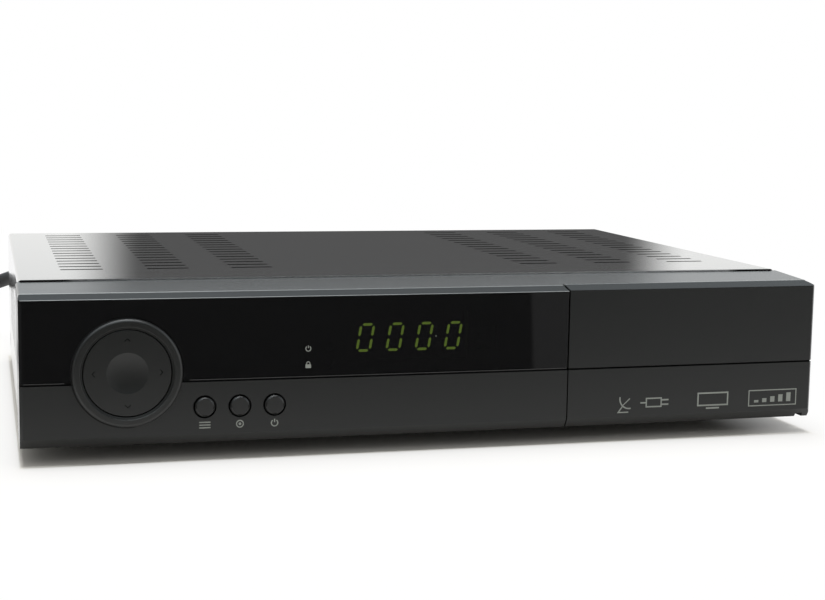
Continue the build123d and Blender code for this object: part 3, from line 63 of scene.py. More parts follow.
WINDOW_LOW, WINDOW_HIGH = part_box("display_window")
RING_LOW, RING_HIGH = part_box("nav_bezel_ring")
BUTTONS = ("menu_button", "ok_button", "power_button")
FRONT_Y = WINDOW_LOW.y
DISPLAY_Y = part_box("led_display")[0].y
COVER_FRONT, REAR_Y = (corner.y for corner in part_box("top_cover"))
UNDERSIDE_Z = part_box("front_fascia")[0].z
HALF_WIDTH = -WINDOW_LOW.x
FRONT_BOW = 1.3 * MM      # how far the front curves back at its ends
BOW_RADIUS = (HALF_WIDTH ** 2 + FRONT_BOW ** 2) / (2 * FRONT_BOW)
BEVEL_DEPTH = 6.1 * MM    # upper edge of the top bevel, behind the front
BEVEL_FOOT = UNDERSIDE_Z + 44.5 * MM

# ------------------------------------------------------------------ camera
FOCAL_PIXELS = 1565.95
IMAGE_WIDTH = 825
SENSOR = 36.0
CAMERA_AT = Vector((-0.139066, -0.569297, 0.110564))
CAMERA_TURN = math.radians(15.387)
CAMERA_DOWN = math.radians(7.375)
CAMERA_ROLL = math.radians(0.902)
CLIP_NEAR, CLIP_FAR = 0.01, 50.0


def new_object(name, data):
    thing = bpy.data.objects.new(name, data)
    bpy.context.scene.collection.objects.link(thing)
    return thing


def make_camera():
    data = bpy.data.cameras.new("camera")
    data.sensor_width = SENSOR
    data.lens = FOCAL_PIXELS * SENSOR / IMAGE_WIDTH
    data.clip_start, data.clip_end = CLIP_NEAR, CLIP_FAR
    ahead = Vector((math.sin(CAMERA_TURN) * math.cos(CAMERA_DOWN),
                    math.cos(CAMERA_TURN) * math.cos(CAMERA_DOWN), -math.sin(CAMERA_DOWN)))
    level = Vector((math.cos(CAMERA_TURN), -math.sin(CAMERA_TURN), 0))
    above = level.cross(ahead)
    right = level * math.cos(CAMERA_ROLL) + above * math.sin(CAMERA_ROLL)
    up = above * math.cos(CAMERA_ROLL) - level * math.sin(CAMERA_ROLL)
    camera = new_object("camera", data)
    turn = Matrix((right, up, -ahead)).transposed().to_4x4()
    camera.matrix_world = Matrix.Translation(CAMERA_AT) @ turn
    bpy.context.scene.camera = camera


# ------------------------------------------------------------------ studio values
WHITE = (1, 1, 1, 1)
SKY_LIGHT = 0.46          # diffuse light of the sky
LAMP_POWER = 15.0
LAMP_AT = (0.0, 0.12, 1.2)
LAMP_SIZE = 0.8

# What reflections see of the room. Over a range of the ray's x, y or z a part of it comes in or goes out.
ROOM_DARK = 0.05          # behind the camera
ROOM_RIGHT, RIGHT_RANGE = 1.7, (0.40, 0.90)
ROOM_LEFT, LEFT_RANGE = 0.5, (-0.95, -0.45)
ROOM_ABOVE, ABOVE_RANGE = 2.4, (0.45, 0.82)
ABOVE_RIGHT, ABOVE_RIGHT_RANGE = 0.06, (0.14, 0.42)    # overhead it is dimmer toward the right
BACK_RANGE = (-0.10, 0.20)                             # behind the box it is bright
ROOM_BACK_HIGH, BACK_HIGH_RANGE = 0.30, (0.10, 0.60)   # and high up there dimmer
LOW_TINT, HIGH_TINT, TINT_RANGE = (1.0, 1.0, 0.985), (0.86, 0.945, 1.0), (0.06, 0.40)

# The paper that the box stands on, and how its shadow ends
PAPER_TONES = ((0.90, 0.88, 0.82), (0.92, 0.90, 0.84))
PAPER_REACH = 6.0
PAPER_DROP = 0.02 * MM
SHADOW_FADES = ((0.5, 0.5 * MM), (0.25, 4 * MM), (0.25, 60 * MM))   # parts of the shadow and their reaches
SHADOW_SIDE = 4.0         # how much faster the shadow ends beside the box
SHADOW_RIGHT = (100 * MM, 135 * MM)   # over this stretch the shadow gets paler toward the right
RIGHT_PALER = 0.28

# Sheets that only reflections see
CARD_LIFT = 0.6 * MM
CARD_FADE = 0.03          # share of a sheet's width over which it fades out
PAPER_EDGE = -0.165       # the paper in front ends here
FRONT_CARD = 0.09         # table beyond the paper, as the window mirrors it
FRONT_CARD_LIT = 0.34     # and where it is lit, to the right
REFLECTION_X = 53.7 * MM  # edge between the two, seen in the window
REFLECTION_SOFT = 1.5 * MM
REFLECTION_SLOPE = 0.36
FRONT_CARD_X, FRONT_CARD_Y = (-1.2, 0.9), (-1.6, 0.0)
SIDE_CARD = 0.2           # table at the left of the paper
SIDE_CARD_X, SIDE_CARD_Y = (-1.2, -0.17), (PAPER_EDGE, 0.05)
BACK_CARD = 0.10          # dark part of what the cover mirrors
BACK_CARD_X, BACK_CARD_Z = (-0.09, 0.37), (0.0, 0.17)
BACK_CARD_AT = (0, 0.5, 0.03)
BACK_CARD_FADE = 0.12


# ------------------------------------------------------------------ node trees
def feed(tree, made, **settings):
    """Sets a node's properties or, with underscores for spaces, its inputs, by value or by link."""
    for name, value in settings.items():
        if hasattr(made, name):
            setattr(made, name, value)
            continue
        key = int(name[1:]) if name[0] == "i" and name[1:].isdigit() else name.replace("_", " ")
        socket = made.inputs[key]
        if isinstance(value, bpy.types.NodeSocket):
            tree.links.new(value, socket)
        else:
            socket.default_value = value
    return made


def node(tree, kind, **settings):
    return feed(tree, tree.nodes.new("ShaderNode" + kind), **settings)


def out(made, name=0):
    return made.outputs[name]


def maths(tree, operation, *values, clamp=False):
    inputs = {f"i{i}": value for i, value in enumerate(values)}
    return out(node(tree, "Math", operation=operation, use_clamp=clamp, **inputs))


def axis(tree, vector, i):
    """The vector's part along X, Y or Z: 0, 1 or 2."""
    return out(node(tree, "SeparateXYZ", Vector=vector), i)


def ramp(tree, value, low, high, to_low=0.0, to_high=1.0):
    """Smooth step of a value between low and high."""
    return out(node(tree, "MapRange", interpolation_type="SMOOTHSTEP", Value=value,
                    From_Min=low, From_Max=high, To_Min=to_low, To_Max=to_high))


def mix(tree, factor, first, second, **settings):
    """Between two colours, each a socket or three numbers."""
    pair = [value if isinstance(value, bpy.types.NodeSocket) else (*value, 1) for value in (first, second)]
    return out(node(tree, "MixRGB", Fac=factor, Color1=pair[0], Color2=pair[1], **settings))


def blank_material(name):
    material = bpy.data.materials.new(name)
    MATERIALS[name] = material
    material.use_nodes = True
    tree = material.node_tree
    tree.nodes.clear()
    shader = node(tree, "BsdfPrincipled")
    output = node(tree, "OutputMaterial", Surface=out(shader))
    material.diffuse_color = (0.1, 0.1, 0.1, 1)
    return tree, shader, output


def object_point(tree, stretch=(1, 1, 1)):
    """Object coordinates, stretched along an axis for brushed or drawn surfaces."""
    point = out(node(tree, "TexCoord"), "Object")
    return out(node(tree, "Mapping", Vector=point, Scale=stretch))


def noise(tree, point, size, detail=3.0, roughness=0.5, distortion=0.0):
    """Noise with features of about the given size in metres, 0 to 1."""
    return out(node(tree, "TexNoise", Vector=point, Scale=1 / size, Detail=detail, Roughness=roughness,
                    Distortion=distortion))


def bump(tree, height, depth, **normal):
    return out(node(tree, "Bump", Strength=1.0, Distance=depth, Height=height, **normal), "Normal")


def shades(tone, darker, lighter):
    return [c * darker for c in tone], [c * lighter for c in tone]


# ------------------------------------------------------------------ kinds of material
# Colour painted on as highlights along the edges of the front's top bevel, where light catches them
PAINTED_EDGE_HIGHLIGHT = (0.30, 0.315, 0.315)
EDGE_LINE = (0.3 * MM, 0.55 * MM)     # from its middle, a lit edge fades over this stretch


def grey(tone):
    return tone, tone, tone


def rim(tree):
    """1 on the polished rim of the fascia: its band along the top and its two ends."""
    point = object_point(tree)
    top = ramp(tree, axis(tree, point, 2), WINDOW_HIGH.z + 0.05 * MM, WINDOW_HIGH.z + 0.25 * MM)
    beside = maths(tree, "ABSOLUTE", axis(tree, point, 0))
    end = ramp(tree, beside, HALF_WIDTH - 0.35 * MM, HALF_WIDTH - 0.15 * MM)
    return maths(tree, "MAXIMUM", top, end)


def painted_edge_highlights(tree, lower_highlight):
    """Painted highlights: thin lighter lines along the two edges of the top bevel, standing in for the light
    they catch, painted brighter toward the left.
    """
    point = object_point(tree)
    x = axis(tree, point, 0)
    bow = maths(tree, "MULTIPLY", maths(tree, "MULTIPLY", x, x), 0.5 / BOW_RADIUS)
    depth = maths(tree, "SUBTRACT", maths(tree, "SUBTRACT", axis(tree, point, 1), FRONT_Y), bow)
    off_upper = maths(tree, "ABSOLUTE", maths(tree, "SUBTRACT", depth, BEVEL_DEPTH))
    upper = ramp(tree, off_upper, *EDGE_LINE, 0.6, 0.0)
    lower = ramp(tree, depth, *EDGE_LINE, lower_highlight, 0.0)
    high = ramp(tree, axis(tree, point, 2), BEVEL_FOOT - 0.15 * MM, BEVEL_FOOT)
    left = ramp(tree, x, -HALF_WIDTH, -30 * MM, 1.9, 1.0)
    lines = maths(tree, "MULTIPLY", maths(tree, "MAXIMUM", upper, lower), high)
    return maths(tree, "MULTIPLY", lines, left, clamp=True)


def crisp_top(tree):
    """The normal, kept flat on the band and bevel along the top so that the edge between them stays sharp."""
    height = axis(tree, object_point(tree), 2)
    geometry = node(tree, "NewGeometry")
    return mix(tree, ramp(tree, height, BEVEL_FOOT + 0.05 * MM, BEVEL_FOOT + 0.15 * MM),
               out(geometry, "Normal"), out(geometry, "True Normal"))


def moulded(name, tone, roughness=0.42, grain=0.45 * MM, depth=0.012 * MM, specular=0.5, vary=0.12,
            scuffs=0.06, polished=None, lower_highlight=0.9):
    """Moulded plastic: an even spark-eroded grain, slow changes of tone, faint handling marks.

    Where polished is given, the piece is one of the front's: its rim is that much smoother, and highlights
    are painted along the edges of its top bevel, the lower one as strongly as the last argument says.
    """
    tree, shader, _ = blank_material(name)
    point = object_point(tree)
    slow = noise(tree, point, 34 * MM, 2.0)
    fine = noise(tree, point, grain, 4.0, 0.6)
    marks = noise(tree, object_point(tree, (0.35, 1, 1.4)), 6 * MM, 6.0, 0.72, 1.5)
    mixed = maths(tree, "ADD", maths(tree, "MULTIPLY", slow, 0.6), maths(tree, "MULTIPLY", fine, 0.4))
    colour = mix(tree, mixed, *shades(tone, 1 - vary, 1 + vary))
    uneven = maths(tree, "MULTIPLY_ADD", fine, 0.10, roughness - 0.05)
    rough = maths(tree, "ADD", uneven, ramp(tree, marks, 0.58, 0.80, 0.0, scuffs), clamp=True)
    if polished is None:
        normal = bump(tree, fine, depth)
    else:
        # painted highlights along the top bevel's edges
        colour = mix(tree, painted_edge_highlights(tree, lower_highlight), colour, PAINTED_EDGE_HIGHLIGHT)
        rough = maths(tree, "MULTIPLY", rough, ramp(tree, rim(tree), 0.0, 1.0, 1.0, polished))
        normal = bump(tree, fine, depth, Normal=crisp_top(tree))
    feed(tree, shader, Base_Color=colour, Roughness=rough, Normal=normal, Specular_IOR_Level=specular)


def tinted_window(name):
    """Dark clear acrylic, so smooth that only dust and the faintest waviness show."""
    tree, shader, _ = blank_material(name)
    point = object_point(tree)
    dust = noise(tree, point, 0.9 * MM, 8.0, 0.75)
    wave = noise(tree, point, 40 * MM, 1.0)
    feed(tree, shader, Roughness=ramp(tree, dust, 0.62, 0.86, 0.03, 0.22),
         Base_Color=mix(tree, wave, (0.055, 0.055, 0.058), (0.065, 0.065, 0.068)),
         Normal=bump(tree, wave, 0.02 * MM), Transmission_Weight=1.0, IOR=1.49)


def enamel(name, tone, roughness=0.16, coat=1.0, bare_before=None):
    """Baked enamel on sheet metal with a little orange peel.

    Before a given y, and near the two ends, the sheared front edge is bare steel.
    """
    tree, shader, output = blank_material(name)
    point = object_point(tree)
    peel = noise(tree, point, 1.6 * MM, 3.0, 0.55)
    slow = noise(tree, point, 50 * MM, 2.0)
    dust = noise(tree, point, 0.7 * MM, 7.0, 0.8)
    feed(tree, shader, Base_Color=mix(tree, slow, *shades(tone, 0.85, 1.2)),
         Roughness=ramp(tree, dust, 0.62, 0.84, roughness, roughness + 0.18),
         Normal=bump(tree, peel, 0.006 * MM), Coat_Weight=coat, Coat_Roughness=0.08)
    if bare_before is not None:
        facing = axis(tree, out(node(tree, "NewGeometry"), "True Normal"), 1)
        before = ramp(tree, axis(tree, point, 1), bare_before, bare_before + 0.04 * MM, 1.0, 0.0)
        edge = maths(tree, "MULTIPLY", before, ramp(tree, facing, -0.9, -0.6, 1.0, 0.0))
        out_from_middle = maths(tree, "ABSOLUTE", axis(tree, point, 0))
        ends = ramp(tree, out_from_middle, HALF_WIDTH - 20 * MM, HALF_WIDTH - 14 * MM, 1.0, 0.0)
        steel = node(tree, "BsdfPrincipled", Base_Color=(0.8, 0.81, 0.82, 1), Metallic=1.0,
                     Roughness=ramp(tree, dust, 0.3, 0.7, 0.3, 0.5))
        both = node(tree, "MixShader", i0=maths(tree, "MULTIPLY", edge, ends), i1=out(shader), i2=out(steel))
        feed(tree, output, Surface=out(both))


def metal(name, tone, roughness=0.28, stretch=(1, 1, 1), grain=0.5 * MM, depth=0.006 * MM, stain=0.25):
    """Plated or bare metal with fine drawing lines and patches of duller surface."""
    tree, shader, _ = blank_material(name)
    lines = noise(tree, object_point(tree, stretch), grain, 4.0, 0.65)
    patches = noise(tree, object_point(tree), 5 * MM, 4.0, 0.6, 0.6)
    spread = maths(tree, "MULTIPLY_ADD", lines, 0.18, roughness - 0.09)
    dull = ramp(tree, patches, 0.35, 0.65, 0.10, 0.0)
    feed(tree, shader, Base_Color=mix(tree, patches, *shades(tone, 1 - stain, 1)), Metallic=1.0,
         Roughness=maths(tree, "ADD", spread, dull, clamp=True), Normal=bump(tree, lines, depth))


def rubber(name, tone, roughness=0.62):
    """Soft matt rubber or PVC with pores and a dusty bloom."""
    tree, shader, _ = blank_material(name)
    point = object_point(tree)
    bloom = noise(tree, point, 7 * MM, 4.0, 0.65)
    pores = noise(tree, point, 0.35 * MM, 4.0, 0.7)
    feed(tree, shader, Base_Color=mix(tree, bloom, *shades(tone, 0.8, 1.45)),
         Roughness=ramp(tree, bloom, 0.3, 0.7, roughness - 0.08, roughness + 0.1),
         Normal=bump(tree, pores, 0.02 * MM), Specular_IOR_Level=0.4)


def circuit_board(name, mask, copper):
    """Solder mask over copper tracks, with pads where the grid lines meet."""
    tree, shader, _ = blank_material(name)
    cells = node(tree, "TexVoronoi", feature="DISTANCE_TO_EDGE", Vector=object_point(tree, (1, 1.6, 1.3)),
                 Scale=1 / (4.2 * MM), Randomness=0.55)
    track = ramp(tree, out(cells), 0.04, 0.07, 1.0, 0.0)
    dots = node(tree, "TexVoronoi", feature="F1", Vector=object_point(tree), Scale=1 / (2.54 * MM),
                Randomness=0.12)
    pad = ramp(tree, out(dots), 0.10, 0.13, 1.0, 0.0)
    lines = mix(tree, track, mask, [c * 1.7 + 0.01 for c in mask])
    feed(tree, shader, Base_Color=mix(tree, pad, lines, copper), Metallic=pad,
         Roughness=ramp(tree, pad, 0.0, 1.0, 0.32, 0.22),
         Normal=bump(tree, maths(tree, "ADD", track, pad), 0.04 * MM))


def glowing(name, tone, strength):
    """A lit display segment, a little brighter at its core."""
    tree, shader, _ = blank_material(name)
    core = noise(tree, object_point(tree), 1.4 * MM, 2.0)
    lit = mix(tree, core, *shades(tone, 0.82, 1))
    feed(tree, shader, Emission_Color=lit, Base_Color=lit, Emission_Strength=strength)


def clear(name, tone, roughness=0.05, ior=1.49, transmission=0.9):
    """Clear or tinted transparent piece."""
    tree, shader, _ = blank_material(name)
    streaks = noise(tree, object_point(tree), 2.0 * MM, 3.0)
    feed(tree, shader, Base_Color=mix(tree, streaks, *shades(tone, 0.9, 1)),
         Roughness=ramp(tree, streaks, 0.2, 0.8, roughness, roughness + 0.08),
         Transmission_Weight=transmission, IOR=ior)


def phono_inserts(name, colours, borders):
    """One moulding colour per jack, from the left, changing at the borders along X."""
    tree, shader, _ = blank_material(name)
    point = object_point(tree)
    colour = colours[0]
    for border, tone in zip(borders, colours[1:]):
        colour = mix(tree, maths(tree, "GREATER_THAN", axis(tree, point, 0), border), colour, tone)
    grain = noise(tree, point, 0.5 * MM, 3.0)
    worn = mix(tree, 0.25, colour, mix(tree, grain, grey(0.6), grey(1)), blend_type="MULTIPLY")
    feed(tree, shader, Base_Color=worn, Roughness=ramp(tree, grain, 0.2, 0.8, 0.3, 0.45))


# ------------------------------------------------------------------ the materials
SATIN = (0.0085, 0.0093, 0.0088)
FRONT_POLISH = 0.38       # roughness of the front's rim, as a share of its face's
GREEN_LIT = (0.42, 0.64, 0.085)
JACK_COLOURS = (grey(0.02), (0.55, 0.02, 0.015), (0.75, 0.75, 0.72), (0.75, 0.55, 0.02))
JACK_BORDERS = (15.5 * MM, 32.5 * MM, 46.5 * MM)


def make_materials():
    """The record's slots, then the materials of the scene's own pieces."""
    moulded("fascia_plastic", SATIN, polished=FRONT_POLISH)
    # the flap gets no painted highlight along the lower edge of its top bevel
    moulded("flap_plastic", SATIN, polished=FRONT_POLISH, lower_highlight=0.0)
    moulded("nav_plastic", (0.0110, 0.0118, 0.0112), 0.40, 0.4 * MM)
    moulded("button_plastic", (0.0110, 0.0116, 0.0112), 0.36, 0.4 * MM)
    moulded("black_plastic", grey(0.012), 0.5)
    moulded("switch_plastic", grey(0.010), 0.25)
    tinted_window("window_gloss")
    enamel("cover_paint", grey(0.010), bare_before=COVER_FRONT + 0.12 * MM)
    enamel("tray_paint", grey(0.016), 0.34, 0.2)
    rubber("foot_rubber", grey(0.014), 0.75)
    rubber("cord_sheath", (0.018, 0.018, 0.019), 0.5)
    rubber("plug_plastic", (0.016, 0.016, 0.017), 0.45)
    rubber("tie_plastic", grey(0.02), 0.4)
    metal("screw_steel", (0.55, 0.55, 0.53), 0.3)
    metal("screw_black", grey(0.045), 0.35)
    metal("plated_steel", (0.68, 0.68, 0.65), 0.25, (1, 0.15, 1))
    metal("heatsink_aluminium", (0.62, 0.62, 0.63), 0.38, (1, 0.1, 1))
    metal("pin_brass", (0.72, 0.62, 0.40), 0.22, (1, 0.2, 1))
    circuit_board("board_laminate", (0.012, 0.085, 0.030), (0.62, 0.60, 0.55))
    circuit_board("power_laminate", (0.30, 0.19, 0.08), (0.55, 0.53, 0.5))
    moulded("display_body", (0.006, 0.006, 0.007), 0.3)
    clear("led_lens", (0.85, 0.85, 0.82))
    moulded("chip_epoxy", (0.014, 0.014, 0.015), 0.5, 0.2 * MM, 0.008 * MM, 0.4)
    moulded("capacitor_sleeve", (0.015, 0.02, 0.045), 0.3)
    moulded("transformer_body", (0.05, 0.045, 0.035), 0.5)
    clear("fuse_glass", (0.9, 0.92, 0.92), 0.02)
    clear("insulation_film", (0.8, 0.8, 0.75), 0.3, 1.4, 0.5)
    moulded("header_plastic", (0.68, 0.67, 0.6), 0.4)
    moulded("ribbon_film", (0.42, 0.44, 0.46), 0.35, 1.2 * MM, 0.05 * MM)
    moulded("wire_sleeve", (0.35, 0.02, 0.015), 0.4)
    phono_inserts("insert_plastic", JACK_COLOURS, JACK_BORDERS)
    moulded("lip_plastic", (0.010, 0.0108, 0.0102), 0.6, specular=0.22)
    # near black, for the painted shadow in the gap round the ring
    rubber("painted_gap_shadow", grey(0.004), 0.9)
    # lighter grey, for the highlight painted along the window's lower edge
    moulded("painted_window_highlight", (0.05, 0.05, 0.052), 0.3)
    moulded("print_ink", (0.29, 0.31, 0.29), 0.5, 0.15 * MM, 0.002 * MM, 0.3, vary=0.06)
    moulded("arrow_ink", grey(0.0022), 0.6, specular=0.1)
    glowing("segment_light", GREEN_LIT, 2.9)
    glowing("dot_light", (0.7, 0.8, 0.6), 3.0)


# ------------------------------------------------------------------ building pieces
def piece(name, build, material, body="receiver"):
    """A mesh object that rides a body: build fills an empty bmesh, in metres in the row frame."""
    mesh = bpy.data.meshes.new(name)
    made = bmesh.new()
    build(made)
    made.normal_update()
    made.to_mesh(mesh)
    made.free()
    thing = new_object(name, mesh)
    mesh.materials.append(MATERIALS[material])
    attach(thing, body)
    return thing


def placed(origin, across, up, away):
    """A place for slab, stroke and lathe: it turns millimetres along three directions into a point."""
    return lambda u, v, w: Vector(origin) + (across * u + up * v + away * w) * MM


def front_y(x):
    """The fascia's front surface at x."""
    return FRONT_Y + BOW_RADIUS - math.sqrt(BOW_RADIUS ** 2 - x ** 2)


def on_front(x, height, lift):
    """The place that is the bowed front, with heights above its underside."""
    return Vector((x * MM, front_y(x * MM) - lift * MM, UNDERSIDE_Z + height * MM))


def slab(made, outline, thick, place):
    """A thin plate on a surface: back face first, then the front."""
    back = [made.verts.new(place(x, h, 0.0)) for x, h in outline]
    face = [made.verts.new(place(x, h, thick)) for x, h in outline]
    made.faces.new(back[::-1])
    made.faces.new(face)
    for i in range(len(outline)):
        j = (i + 1) % len(outline)
        made.faces.new((back[i], back[j], face[j], face[i]))


def stroke(made, points, width, thick, place, closed=False):
    """A printed line: points are its middle, mitred at the corners."""
    count = len(points)
    left, right = [], []
    for i, (x, y) in enumerate(points):
        before = points[i - 1] if closed or i else points[0]
        after = points[(i + 1) % count] if closed or i < count - 1 else points[-1]
        first = Vector((x - before[0], y - before[1]))
        second = Vector((after[0] - x, after[1] - y))
        first = first.normalized() if first.length else second.normalized()
        second = second.normalized() if second.length else first
        along = (first + second).normalized()
        across = Vector((-along.y, along.x)) * (width / 2 / max(0.35, along.dot(first)))
        left.append((x + across.x, y + across.y))
        right.append((x - across.x, y - across.y))
    if closed:
        for i in range(count):
            j = (i + 1) % count
            slab(made, [right[i], right[j], left[j], left[i]], thick, place)
    else:
        slab(made, right + left[::-1], thick, place)


def polar(radius, angle):
    """A point at an angle in degrees."""
    return radius * math.cos(math.radians(angle)), radius * math.sin(math.radians(angle))


def arc(cx, cy, radius, start, end, steps=20):
    points = [polar(radius, start + (end - start) * i / steps) for i in range(steps + 1)]
    return [(cx + x, cy + y) for x, y in points]


def ring(cx, cy, radius, steps=28):
    return arc(cx, cy, radius, 0, 360, steps)[:-1]


def rectangle(left, right, low, high):
    return [(left, low), (right, low), (right, high), (left, high)]


def turned_row(made, shape, height, place, angles):
    """The corners of one row: a single one on the axis, or one at each angle of a radius or an outline."""
    if shape == 0:
        return [made.verts.new(place(0, 0, height))]
    radii = [shape(angle) if callable(shape) else shape for angle in angles]
    return [made.verts.new(place(*polar(radius, angle), height)) for radius, angle in zip(radii, angles)]


def lathe(made, profile, place, angles, closed=False):
    """A turned solid from rows of (shape, height), a shape being 0, a radius or an outline by angle.

    A closed one is a ring. Any other starts and ends on its axis.
    """
    rows = [turned_row(made, shape, height, place, angles) for shape, height in profile]
    followers = rows[1:] + rows[:1] if closed else rows[1:]
    for first, second in zip(rows, followers):
        for i in range(len(angles)):
            j = (i + 1) % len(angles)
            corners = (first[i % len(first)], first[j % len(first)],
                       second[j % len(second)], second[i % len(second)])
            made.faces.new(list(dict.fromkeys(corners)))
    bmesh.ops.recalc_face_normals(made, faces=made.faces)


# ------------------------------------------------------------------ ring round the rocker
# Radius and depth behind the front
LIP_PROFILE = ((14.14, -1.57), (13.37, -0.93), (13.37, 1.4), (13.6, 1.4), (13.6, -0.72))
# A near-black ring lying on the fascia round the ring: painted shadow of the gap between them
GAP_SHADOW_PROFILE = ((16.45, -0.06), (16.80, -0.03), (16.80, 0.3), (16.45, 0.3))
RING_STEPS = 128
RING_ANGLES = [360 * i / RING_STEPS for i in range(RING_STEPS)]


def make_ring_lips():
    centre = (RING_LOW + RING_HIGH) / 2
    place = placed((centre.x, front_y(centre.x), centre.z), X, Z, Y)
    piece("nav_ring_lip", lambda made: lathe(made, LIP_PROFILE, place, RING_ANGLES, True), "lip_plastic")
    # painted shadow in the gap round the ring
    piece("nav_ring_gap_shadow", lambda made: lathe(made, GAP_SHADOW_PROFILE, place, RING_ANGLES, True), "painted_gap_shadow")


# ------------------------------------------------------------------ printed symbols
PRINT_THICK = 0.02
PRINT_GAP = 0.01          # between the fascia and the print
SYMBOL_HEIGHT = 5.6
LED_SYMBOL_X = -43.6
LED_SYMBOL_HEIGHTS = (28.4, 23.2)
FLAP_SYMBOL_HEIGHT = 7.2
DISH_X, PLUG_X, SCREEN_X, BARS_X = 63.4, 74.0, 93.5, 115.6
BAR_COUNT, BAR_STEP, BAR_RISE = 5, 3.0, 0.55


def on_fascia(x, height, lift):
    return on_front(x, height, PRINT_GAP + lift)


def line(made, points, width, closed=False):
    stroke(made, points, width, PRINT_THICK, on_fascia, closed)


def patch(made, outline):
    slab(made, outline, PRINT_THICK, on_fascia)


def power_symbol(made, x, h, r, width):
    line(made, arc(x, h, r, 125, 415), width)
    line(made, [(x, h + 0.2 * r), (x, h + 1.25 * r)], width)


def key_symbols(made):
    """Under the keys: a list, a confirming ring, and the power sign."""
    menu, ok, power = (middle(name).x / MM for name in BUTTONS)
    h = SYMBOL_HEIGHT
    for step in (-0.85, 0, 0.85):
        line(made, [(menu - 1.7, h + step), (menu + 1.7, h + step)], 0.36)
    line(made, ring(ok, h, 1.05), 0.32, True)
    patch(made, ring(ok, h, 0.42, 16))
    power_symbol(made, power, h - 0.1, 1.0, 0.34)


def lamp_symbols(made):
    """Beside the two indicator lamps: the power sign and a padlock."""
    x = LED_SYMBOL_X
    high, low = LED_SYMBOL_HEIGHTS
    power_symbol(made, x, high - 0.1, 0.78, 0.26)
    h = low - 0.35
    patch(made, rectangle(x - 0.85, x + 0.85, h - 0.6, h + 0.55))
    line(made, [(x - 0.5, h + 0.5)] + arc(x, h + 0.85, 0.5, 180, 0, 12) + [(x + 0.5, h + 0.5)], 0.24)


def dish(made, x, h):
    line(made, arc(x, h + 1.6, 3.3, 170, 280), 0.45)
    line(made, [(x - 2.2, h - 0.6), (x + 0.2, h + 1.6)], 0.32)
    line(made, [(x - 2.4, h - 1.0), (x - 3.8, h - 2.9), (x - 0.2, h - 2.9)], 0.40)


def plug(made, x, h):
    line(made, rectangle(x - 4.5, x + 0.8, h - 1.4, h + 1.4), 0.45, True)
    for side in (-0.75, 0.75):
        line(made, [(x + 1.0, h + side), (x + 3.4, h + side)], 0.5)
    line(made, [(x - 4.7, h), (x - 6.6, h)], 0.5)


def screen(made, x, h):
    line(made, rectangle(x - 5.4, x + 5.4, h - 1.7, h + 2.4), 0.5, True)
    line(made, [(x - 2.4, h - 2.7), (x + 2.4, h - 2.7)], 0.5)


def bars(made, x, h):
    line(made, rectangle(x - 8.8, x + 8.8, h - 2.6, h + 2.6), 0.35, True)
    for i in range(BAR_COUNT):
        bar = x + (i - BAR_COUNT // 2) * BAR_STEP
        patch(made, rectangle(bar - 0.8, bar + 0.8, h - 1.5, h - 0.7 + i * BAR_RISE))


def flap_symbols(made):
    """Along the flap's foot: a dish, a plug, a screen and a row of bars in a frame."""
    for sign, x in ((dish, DISH_X), (plug, PLUG_X), (screen, SCREEN_X), (bars, BARS_X)):
        sign(made, x, FLAP_SYMBOL_HEIGHT)


def make_symbols():
    piece("key_symbols", key_symbols, "print_ink")
    piece("lamp_symbols", lamp_symbols, "print_ink")
    piece("flap_symbols", flap_symbols, "print_ink", "flap")


# Size of the lighter strip painted along the window's lower edge as its highlight
EDGE_HEIGHT, EDGE_THICK = 0.22, 0.03


def make_window_edge():
    """A painted highlight: a lighter strip along the window's lower edge by the groove, on both sides of the
    ring.
    """
    low = (WINDOW_LOW.z - UNDERSIDE_Z) / MM
    spans = ((WINDOW_LOW.x / MM + 1.2, RING_LOW.x / MM, 3), (RING_HIGH.x / MM, WINDOW_HIGH.x / MM - 0.3, 30))

    def build(made):
        for start, end, steps in spans:
            xs = [start + (end - start) * i / steps for i in range(steps + 1)]
            for left, right in zip(xs, xs[1:]):
                slab(made, rectangle(left, right, low, low + EDGE_HEIGHT), EDGE_THICK, on_front)

    piece("window_edge_highlight", build, "painted_window_highlight")


ARROW = ((10.6, 0), (9.8, 0.9), (9.45, 0.9), (10.25, 0), (9.45, -0.9), (9.8, -0.9))   # the one at the right
ENGRAVED = 0.18 * MM


def make_arrows():
    """Dark filling of the four engraved arrow heads of the rocker."""
    centre = middle("nav_rocker")
    place = placed((centre.x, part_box("nav_rocker")[0].y + ENGRAVED, centre.z), X, Z, -Y)

    def build(made):
        for turn in (0, 90, 180, 270):
            c, s = polar(1, turn)
            slab(made, [(c * u - s * v, s * u + c * v) for u, v in ARROW], PRINT_THICK, place)

    piece("nav_arrow_ink", build, "arrow_ink", "nav_pad")


# ------------------------------------------------------------------ screws
CROSS_REACH, CROSS_HALF = 1.35, 0.36
CROSS_TURN = math.degrees(math.atan2(CROSS_HALF, CROSS_REACH))
CROSS_ANGLES = [quarter + a for quarter in (0, 90, 180, 270)
                for a in (0, CROSS_TURN, 26, 36, 45, 54, 64, 90 - CROSS_TURN)]
PAN_R, PAN_HIGH = 2.8, 1.7
FLAT_R = 2.9
WASHER = 0.05
REAR_SCREW_LENGTH = 6.0


def cross(scale):
    """Outline of a cross recess."""
    def radius(angle):
        a = min(angle % 90, 90 - angle % 90)
        side = CROSS_HALF / math.sin(math.radians(a)) if a > 0.1 else CROSS_REACH
        return scale * min(CROSS_REACH / math.cos(math.radians(a)), side)
    return radius


def pan_head(length):
    return ((0, -length), (1.1, -length), (1.5, -length + 0.6), (1.5, 0), (PAN_R, 0), (2.78, 0.35),
            (2.5, 1.1), (2.1, 1.5), (1.6, 1.68), (cross(1.0), PAN_HIGH), (cross(0.72), 0.75), (0, 0.55))


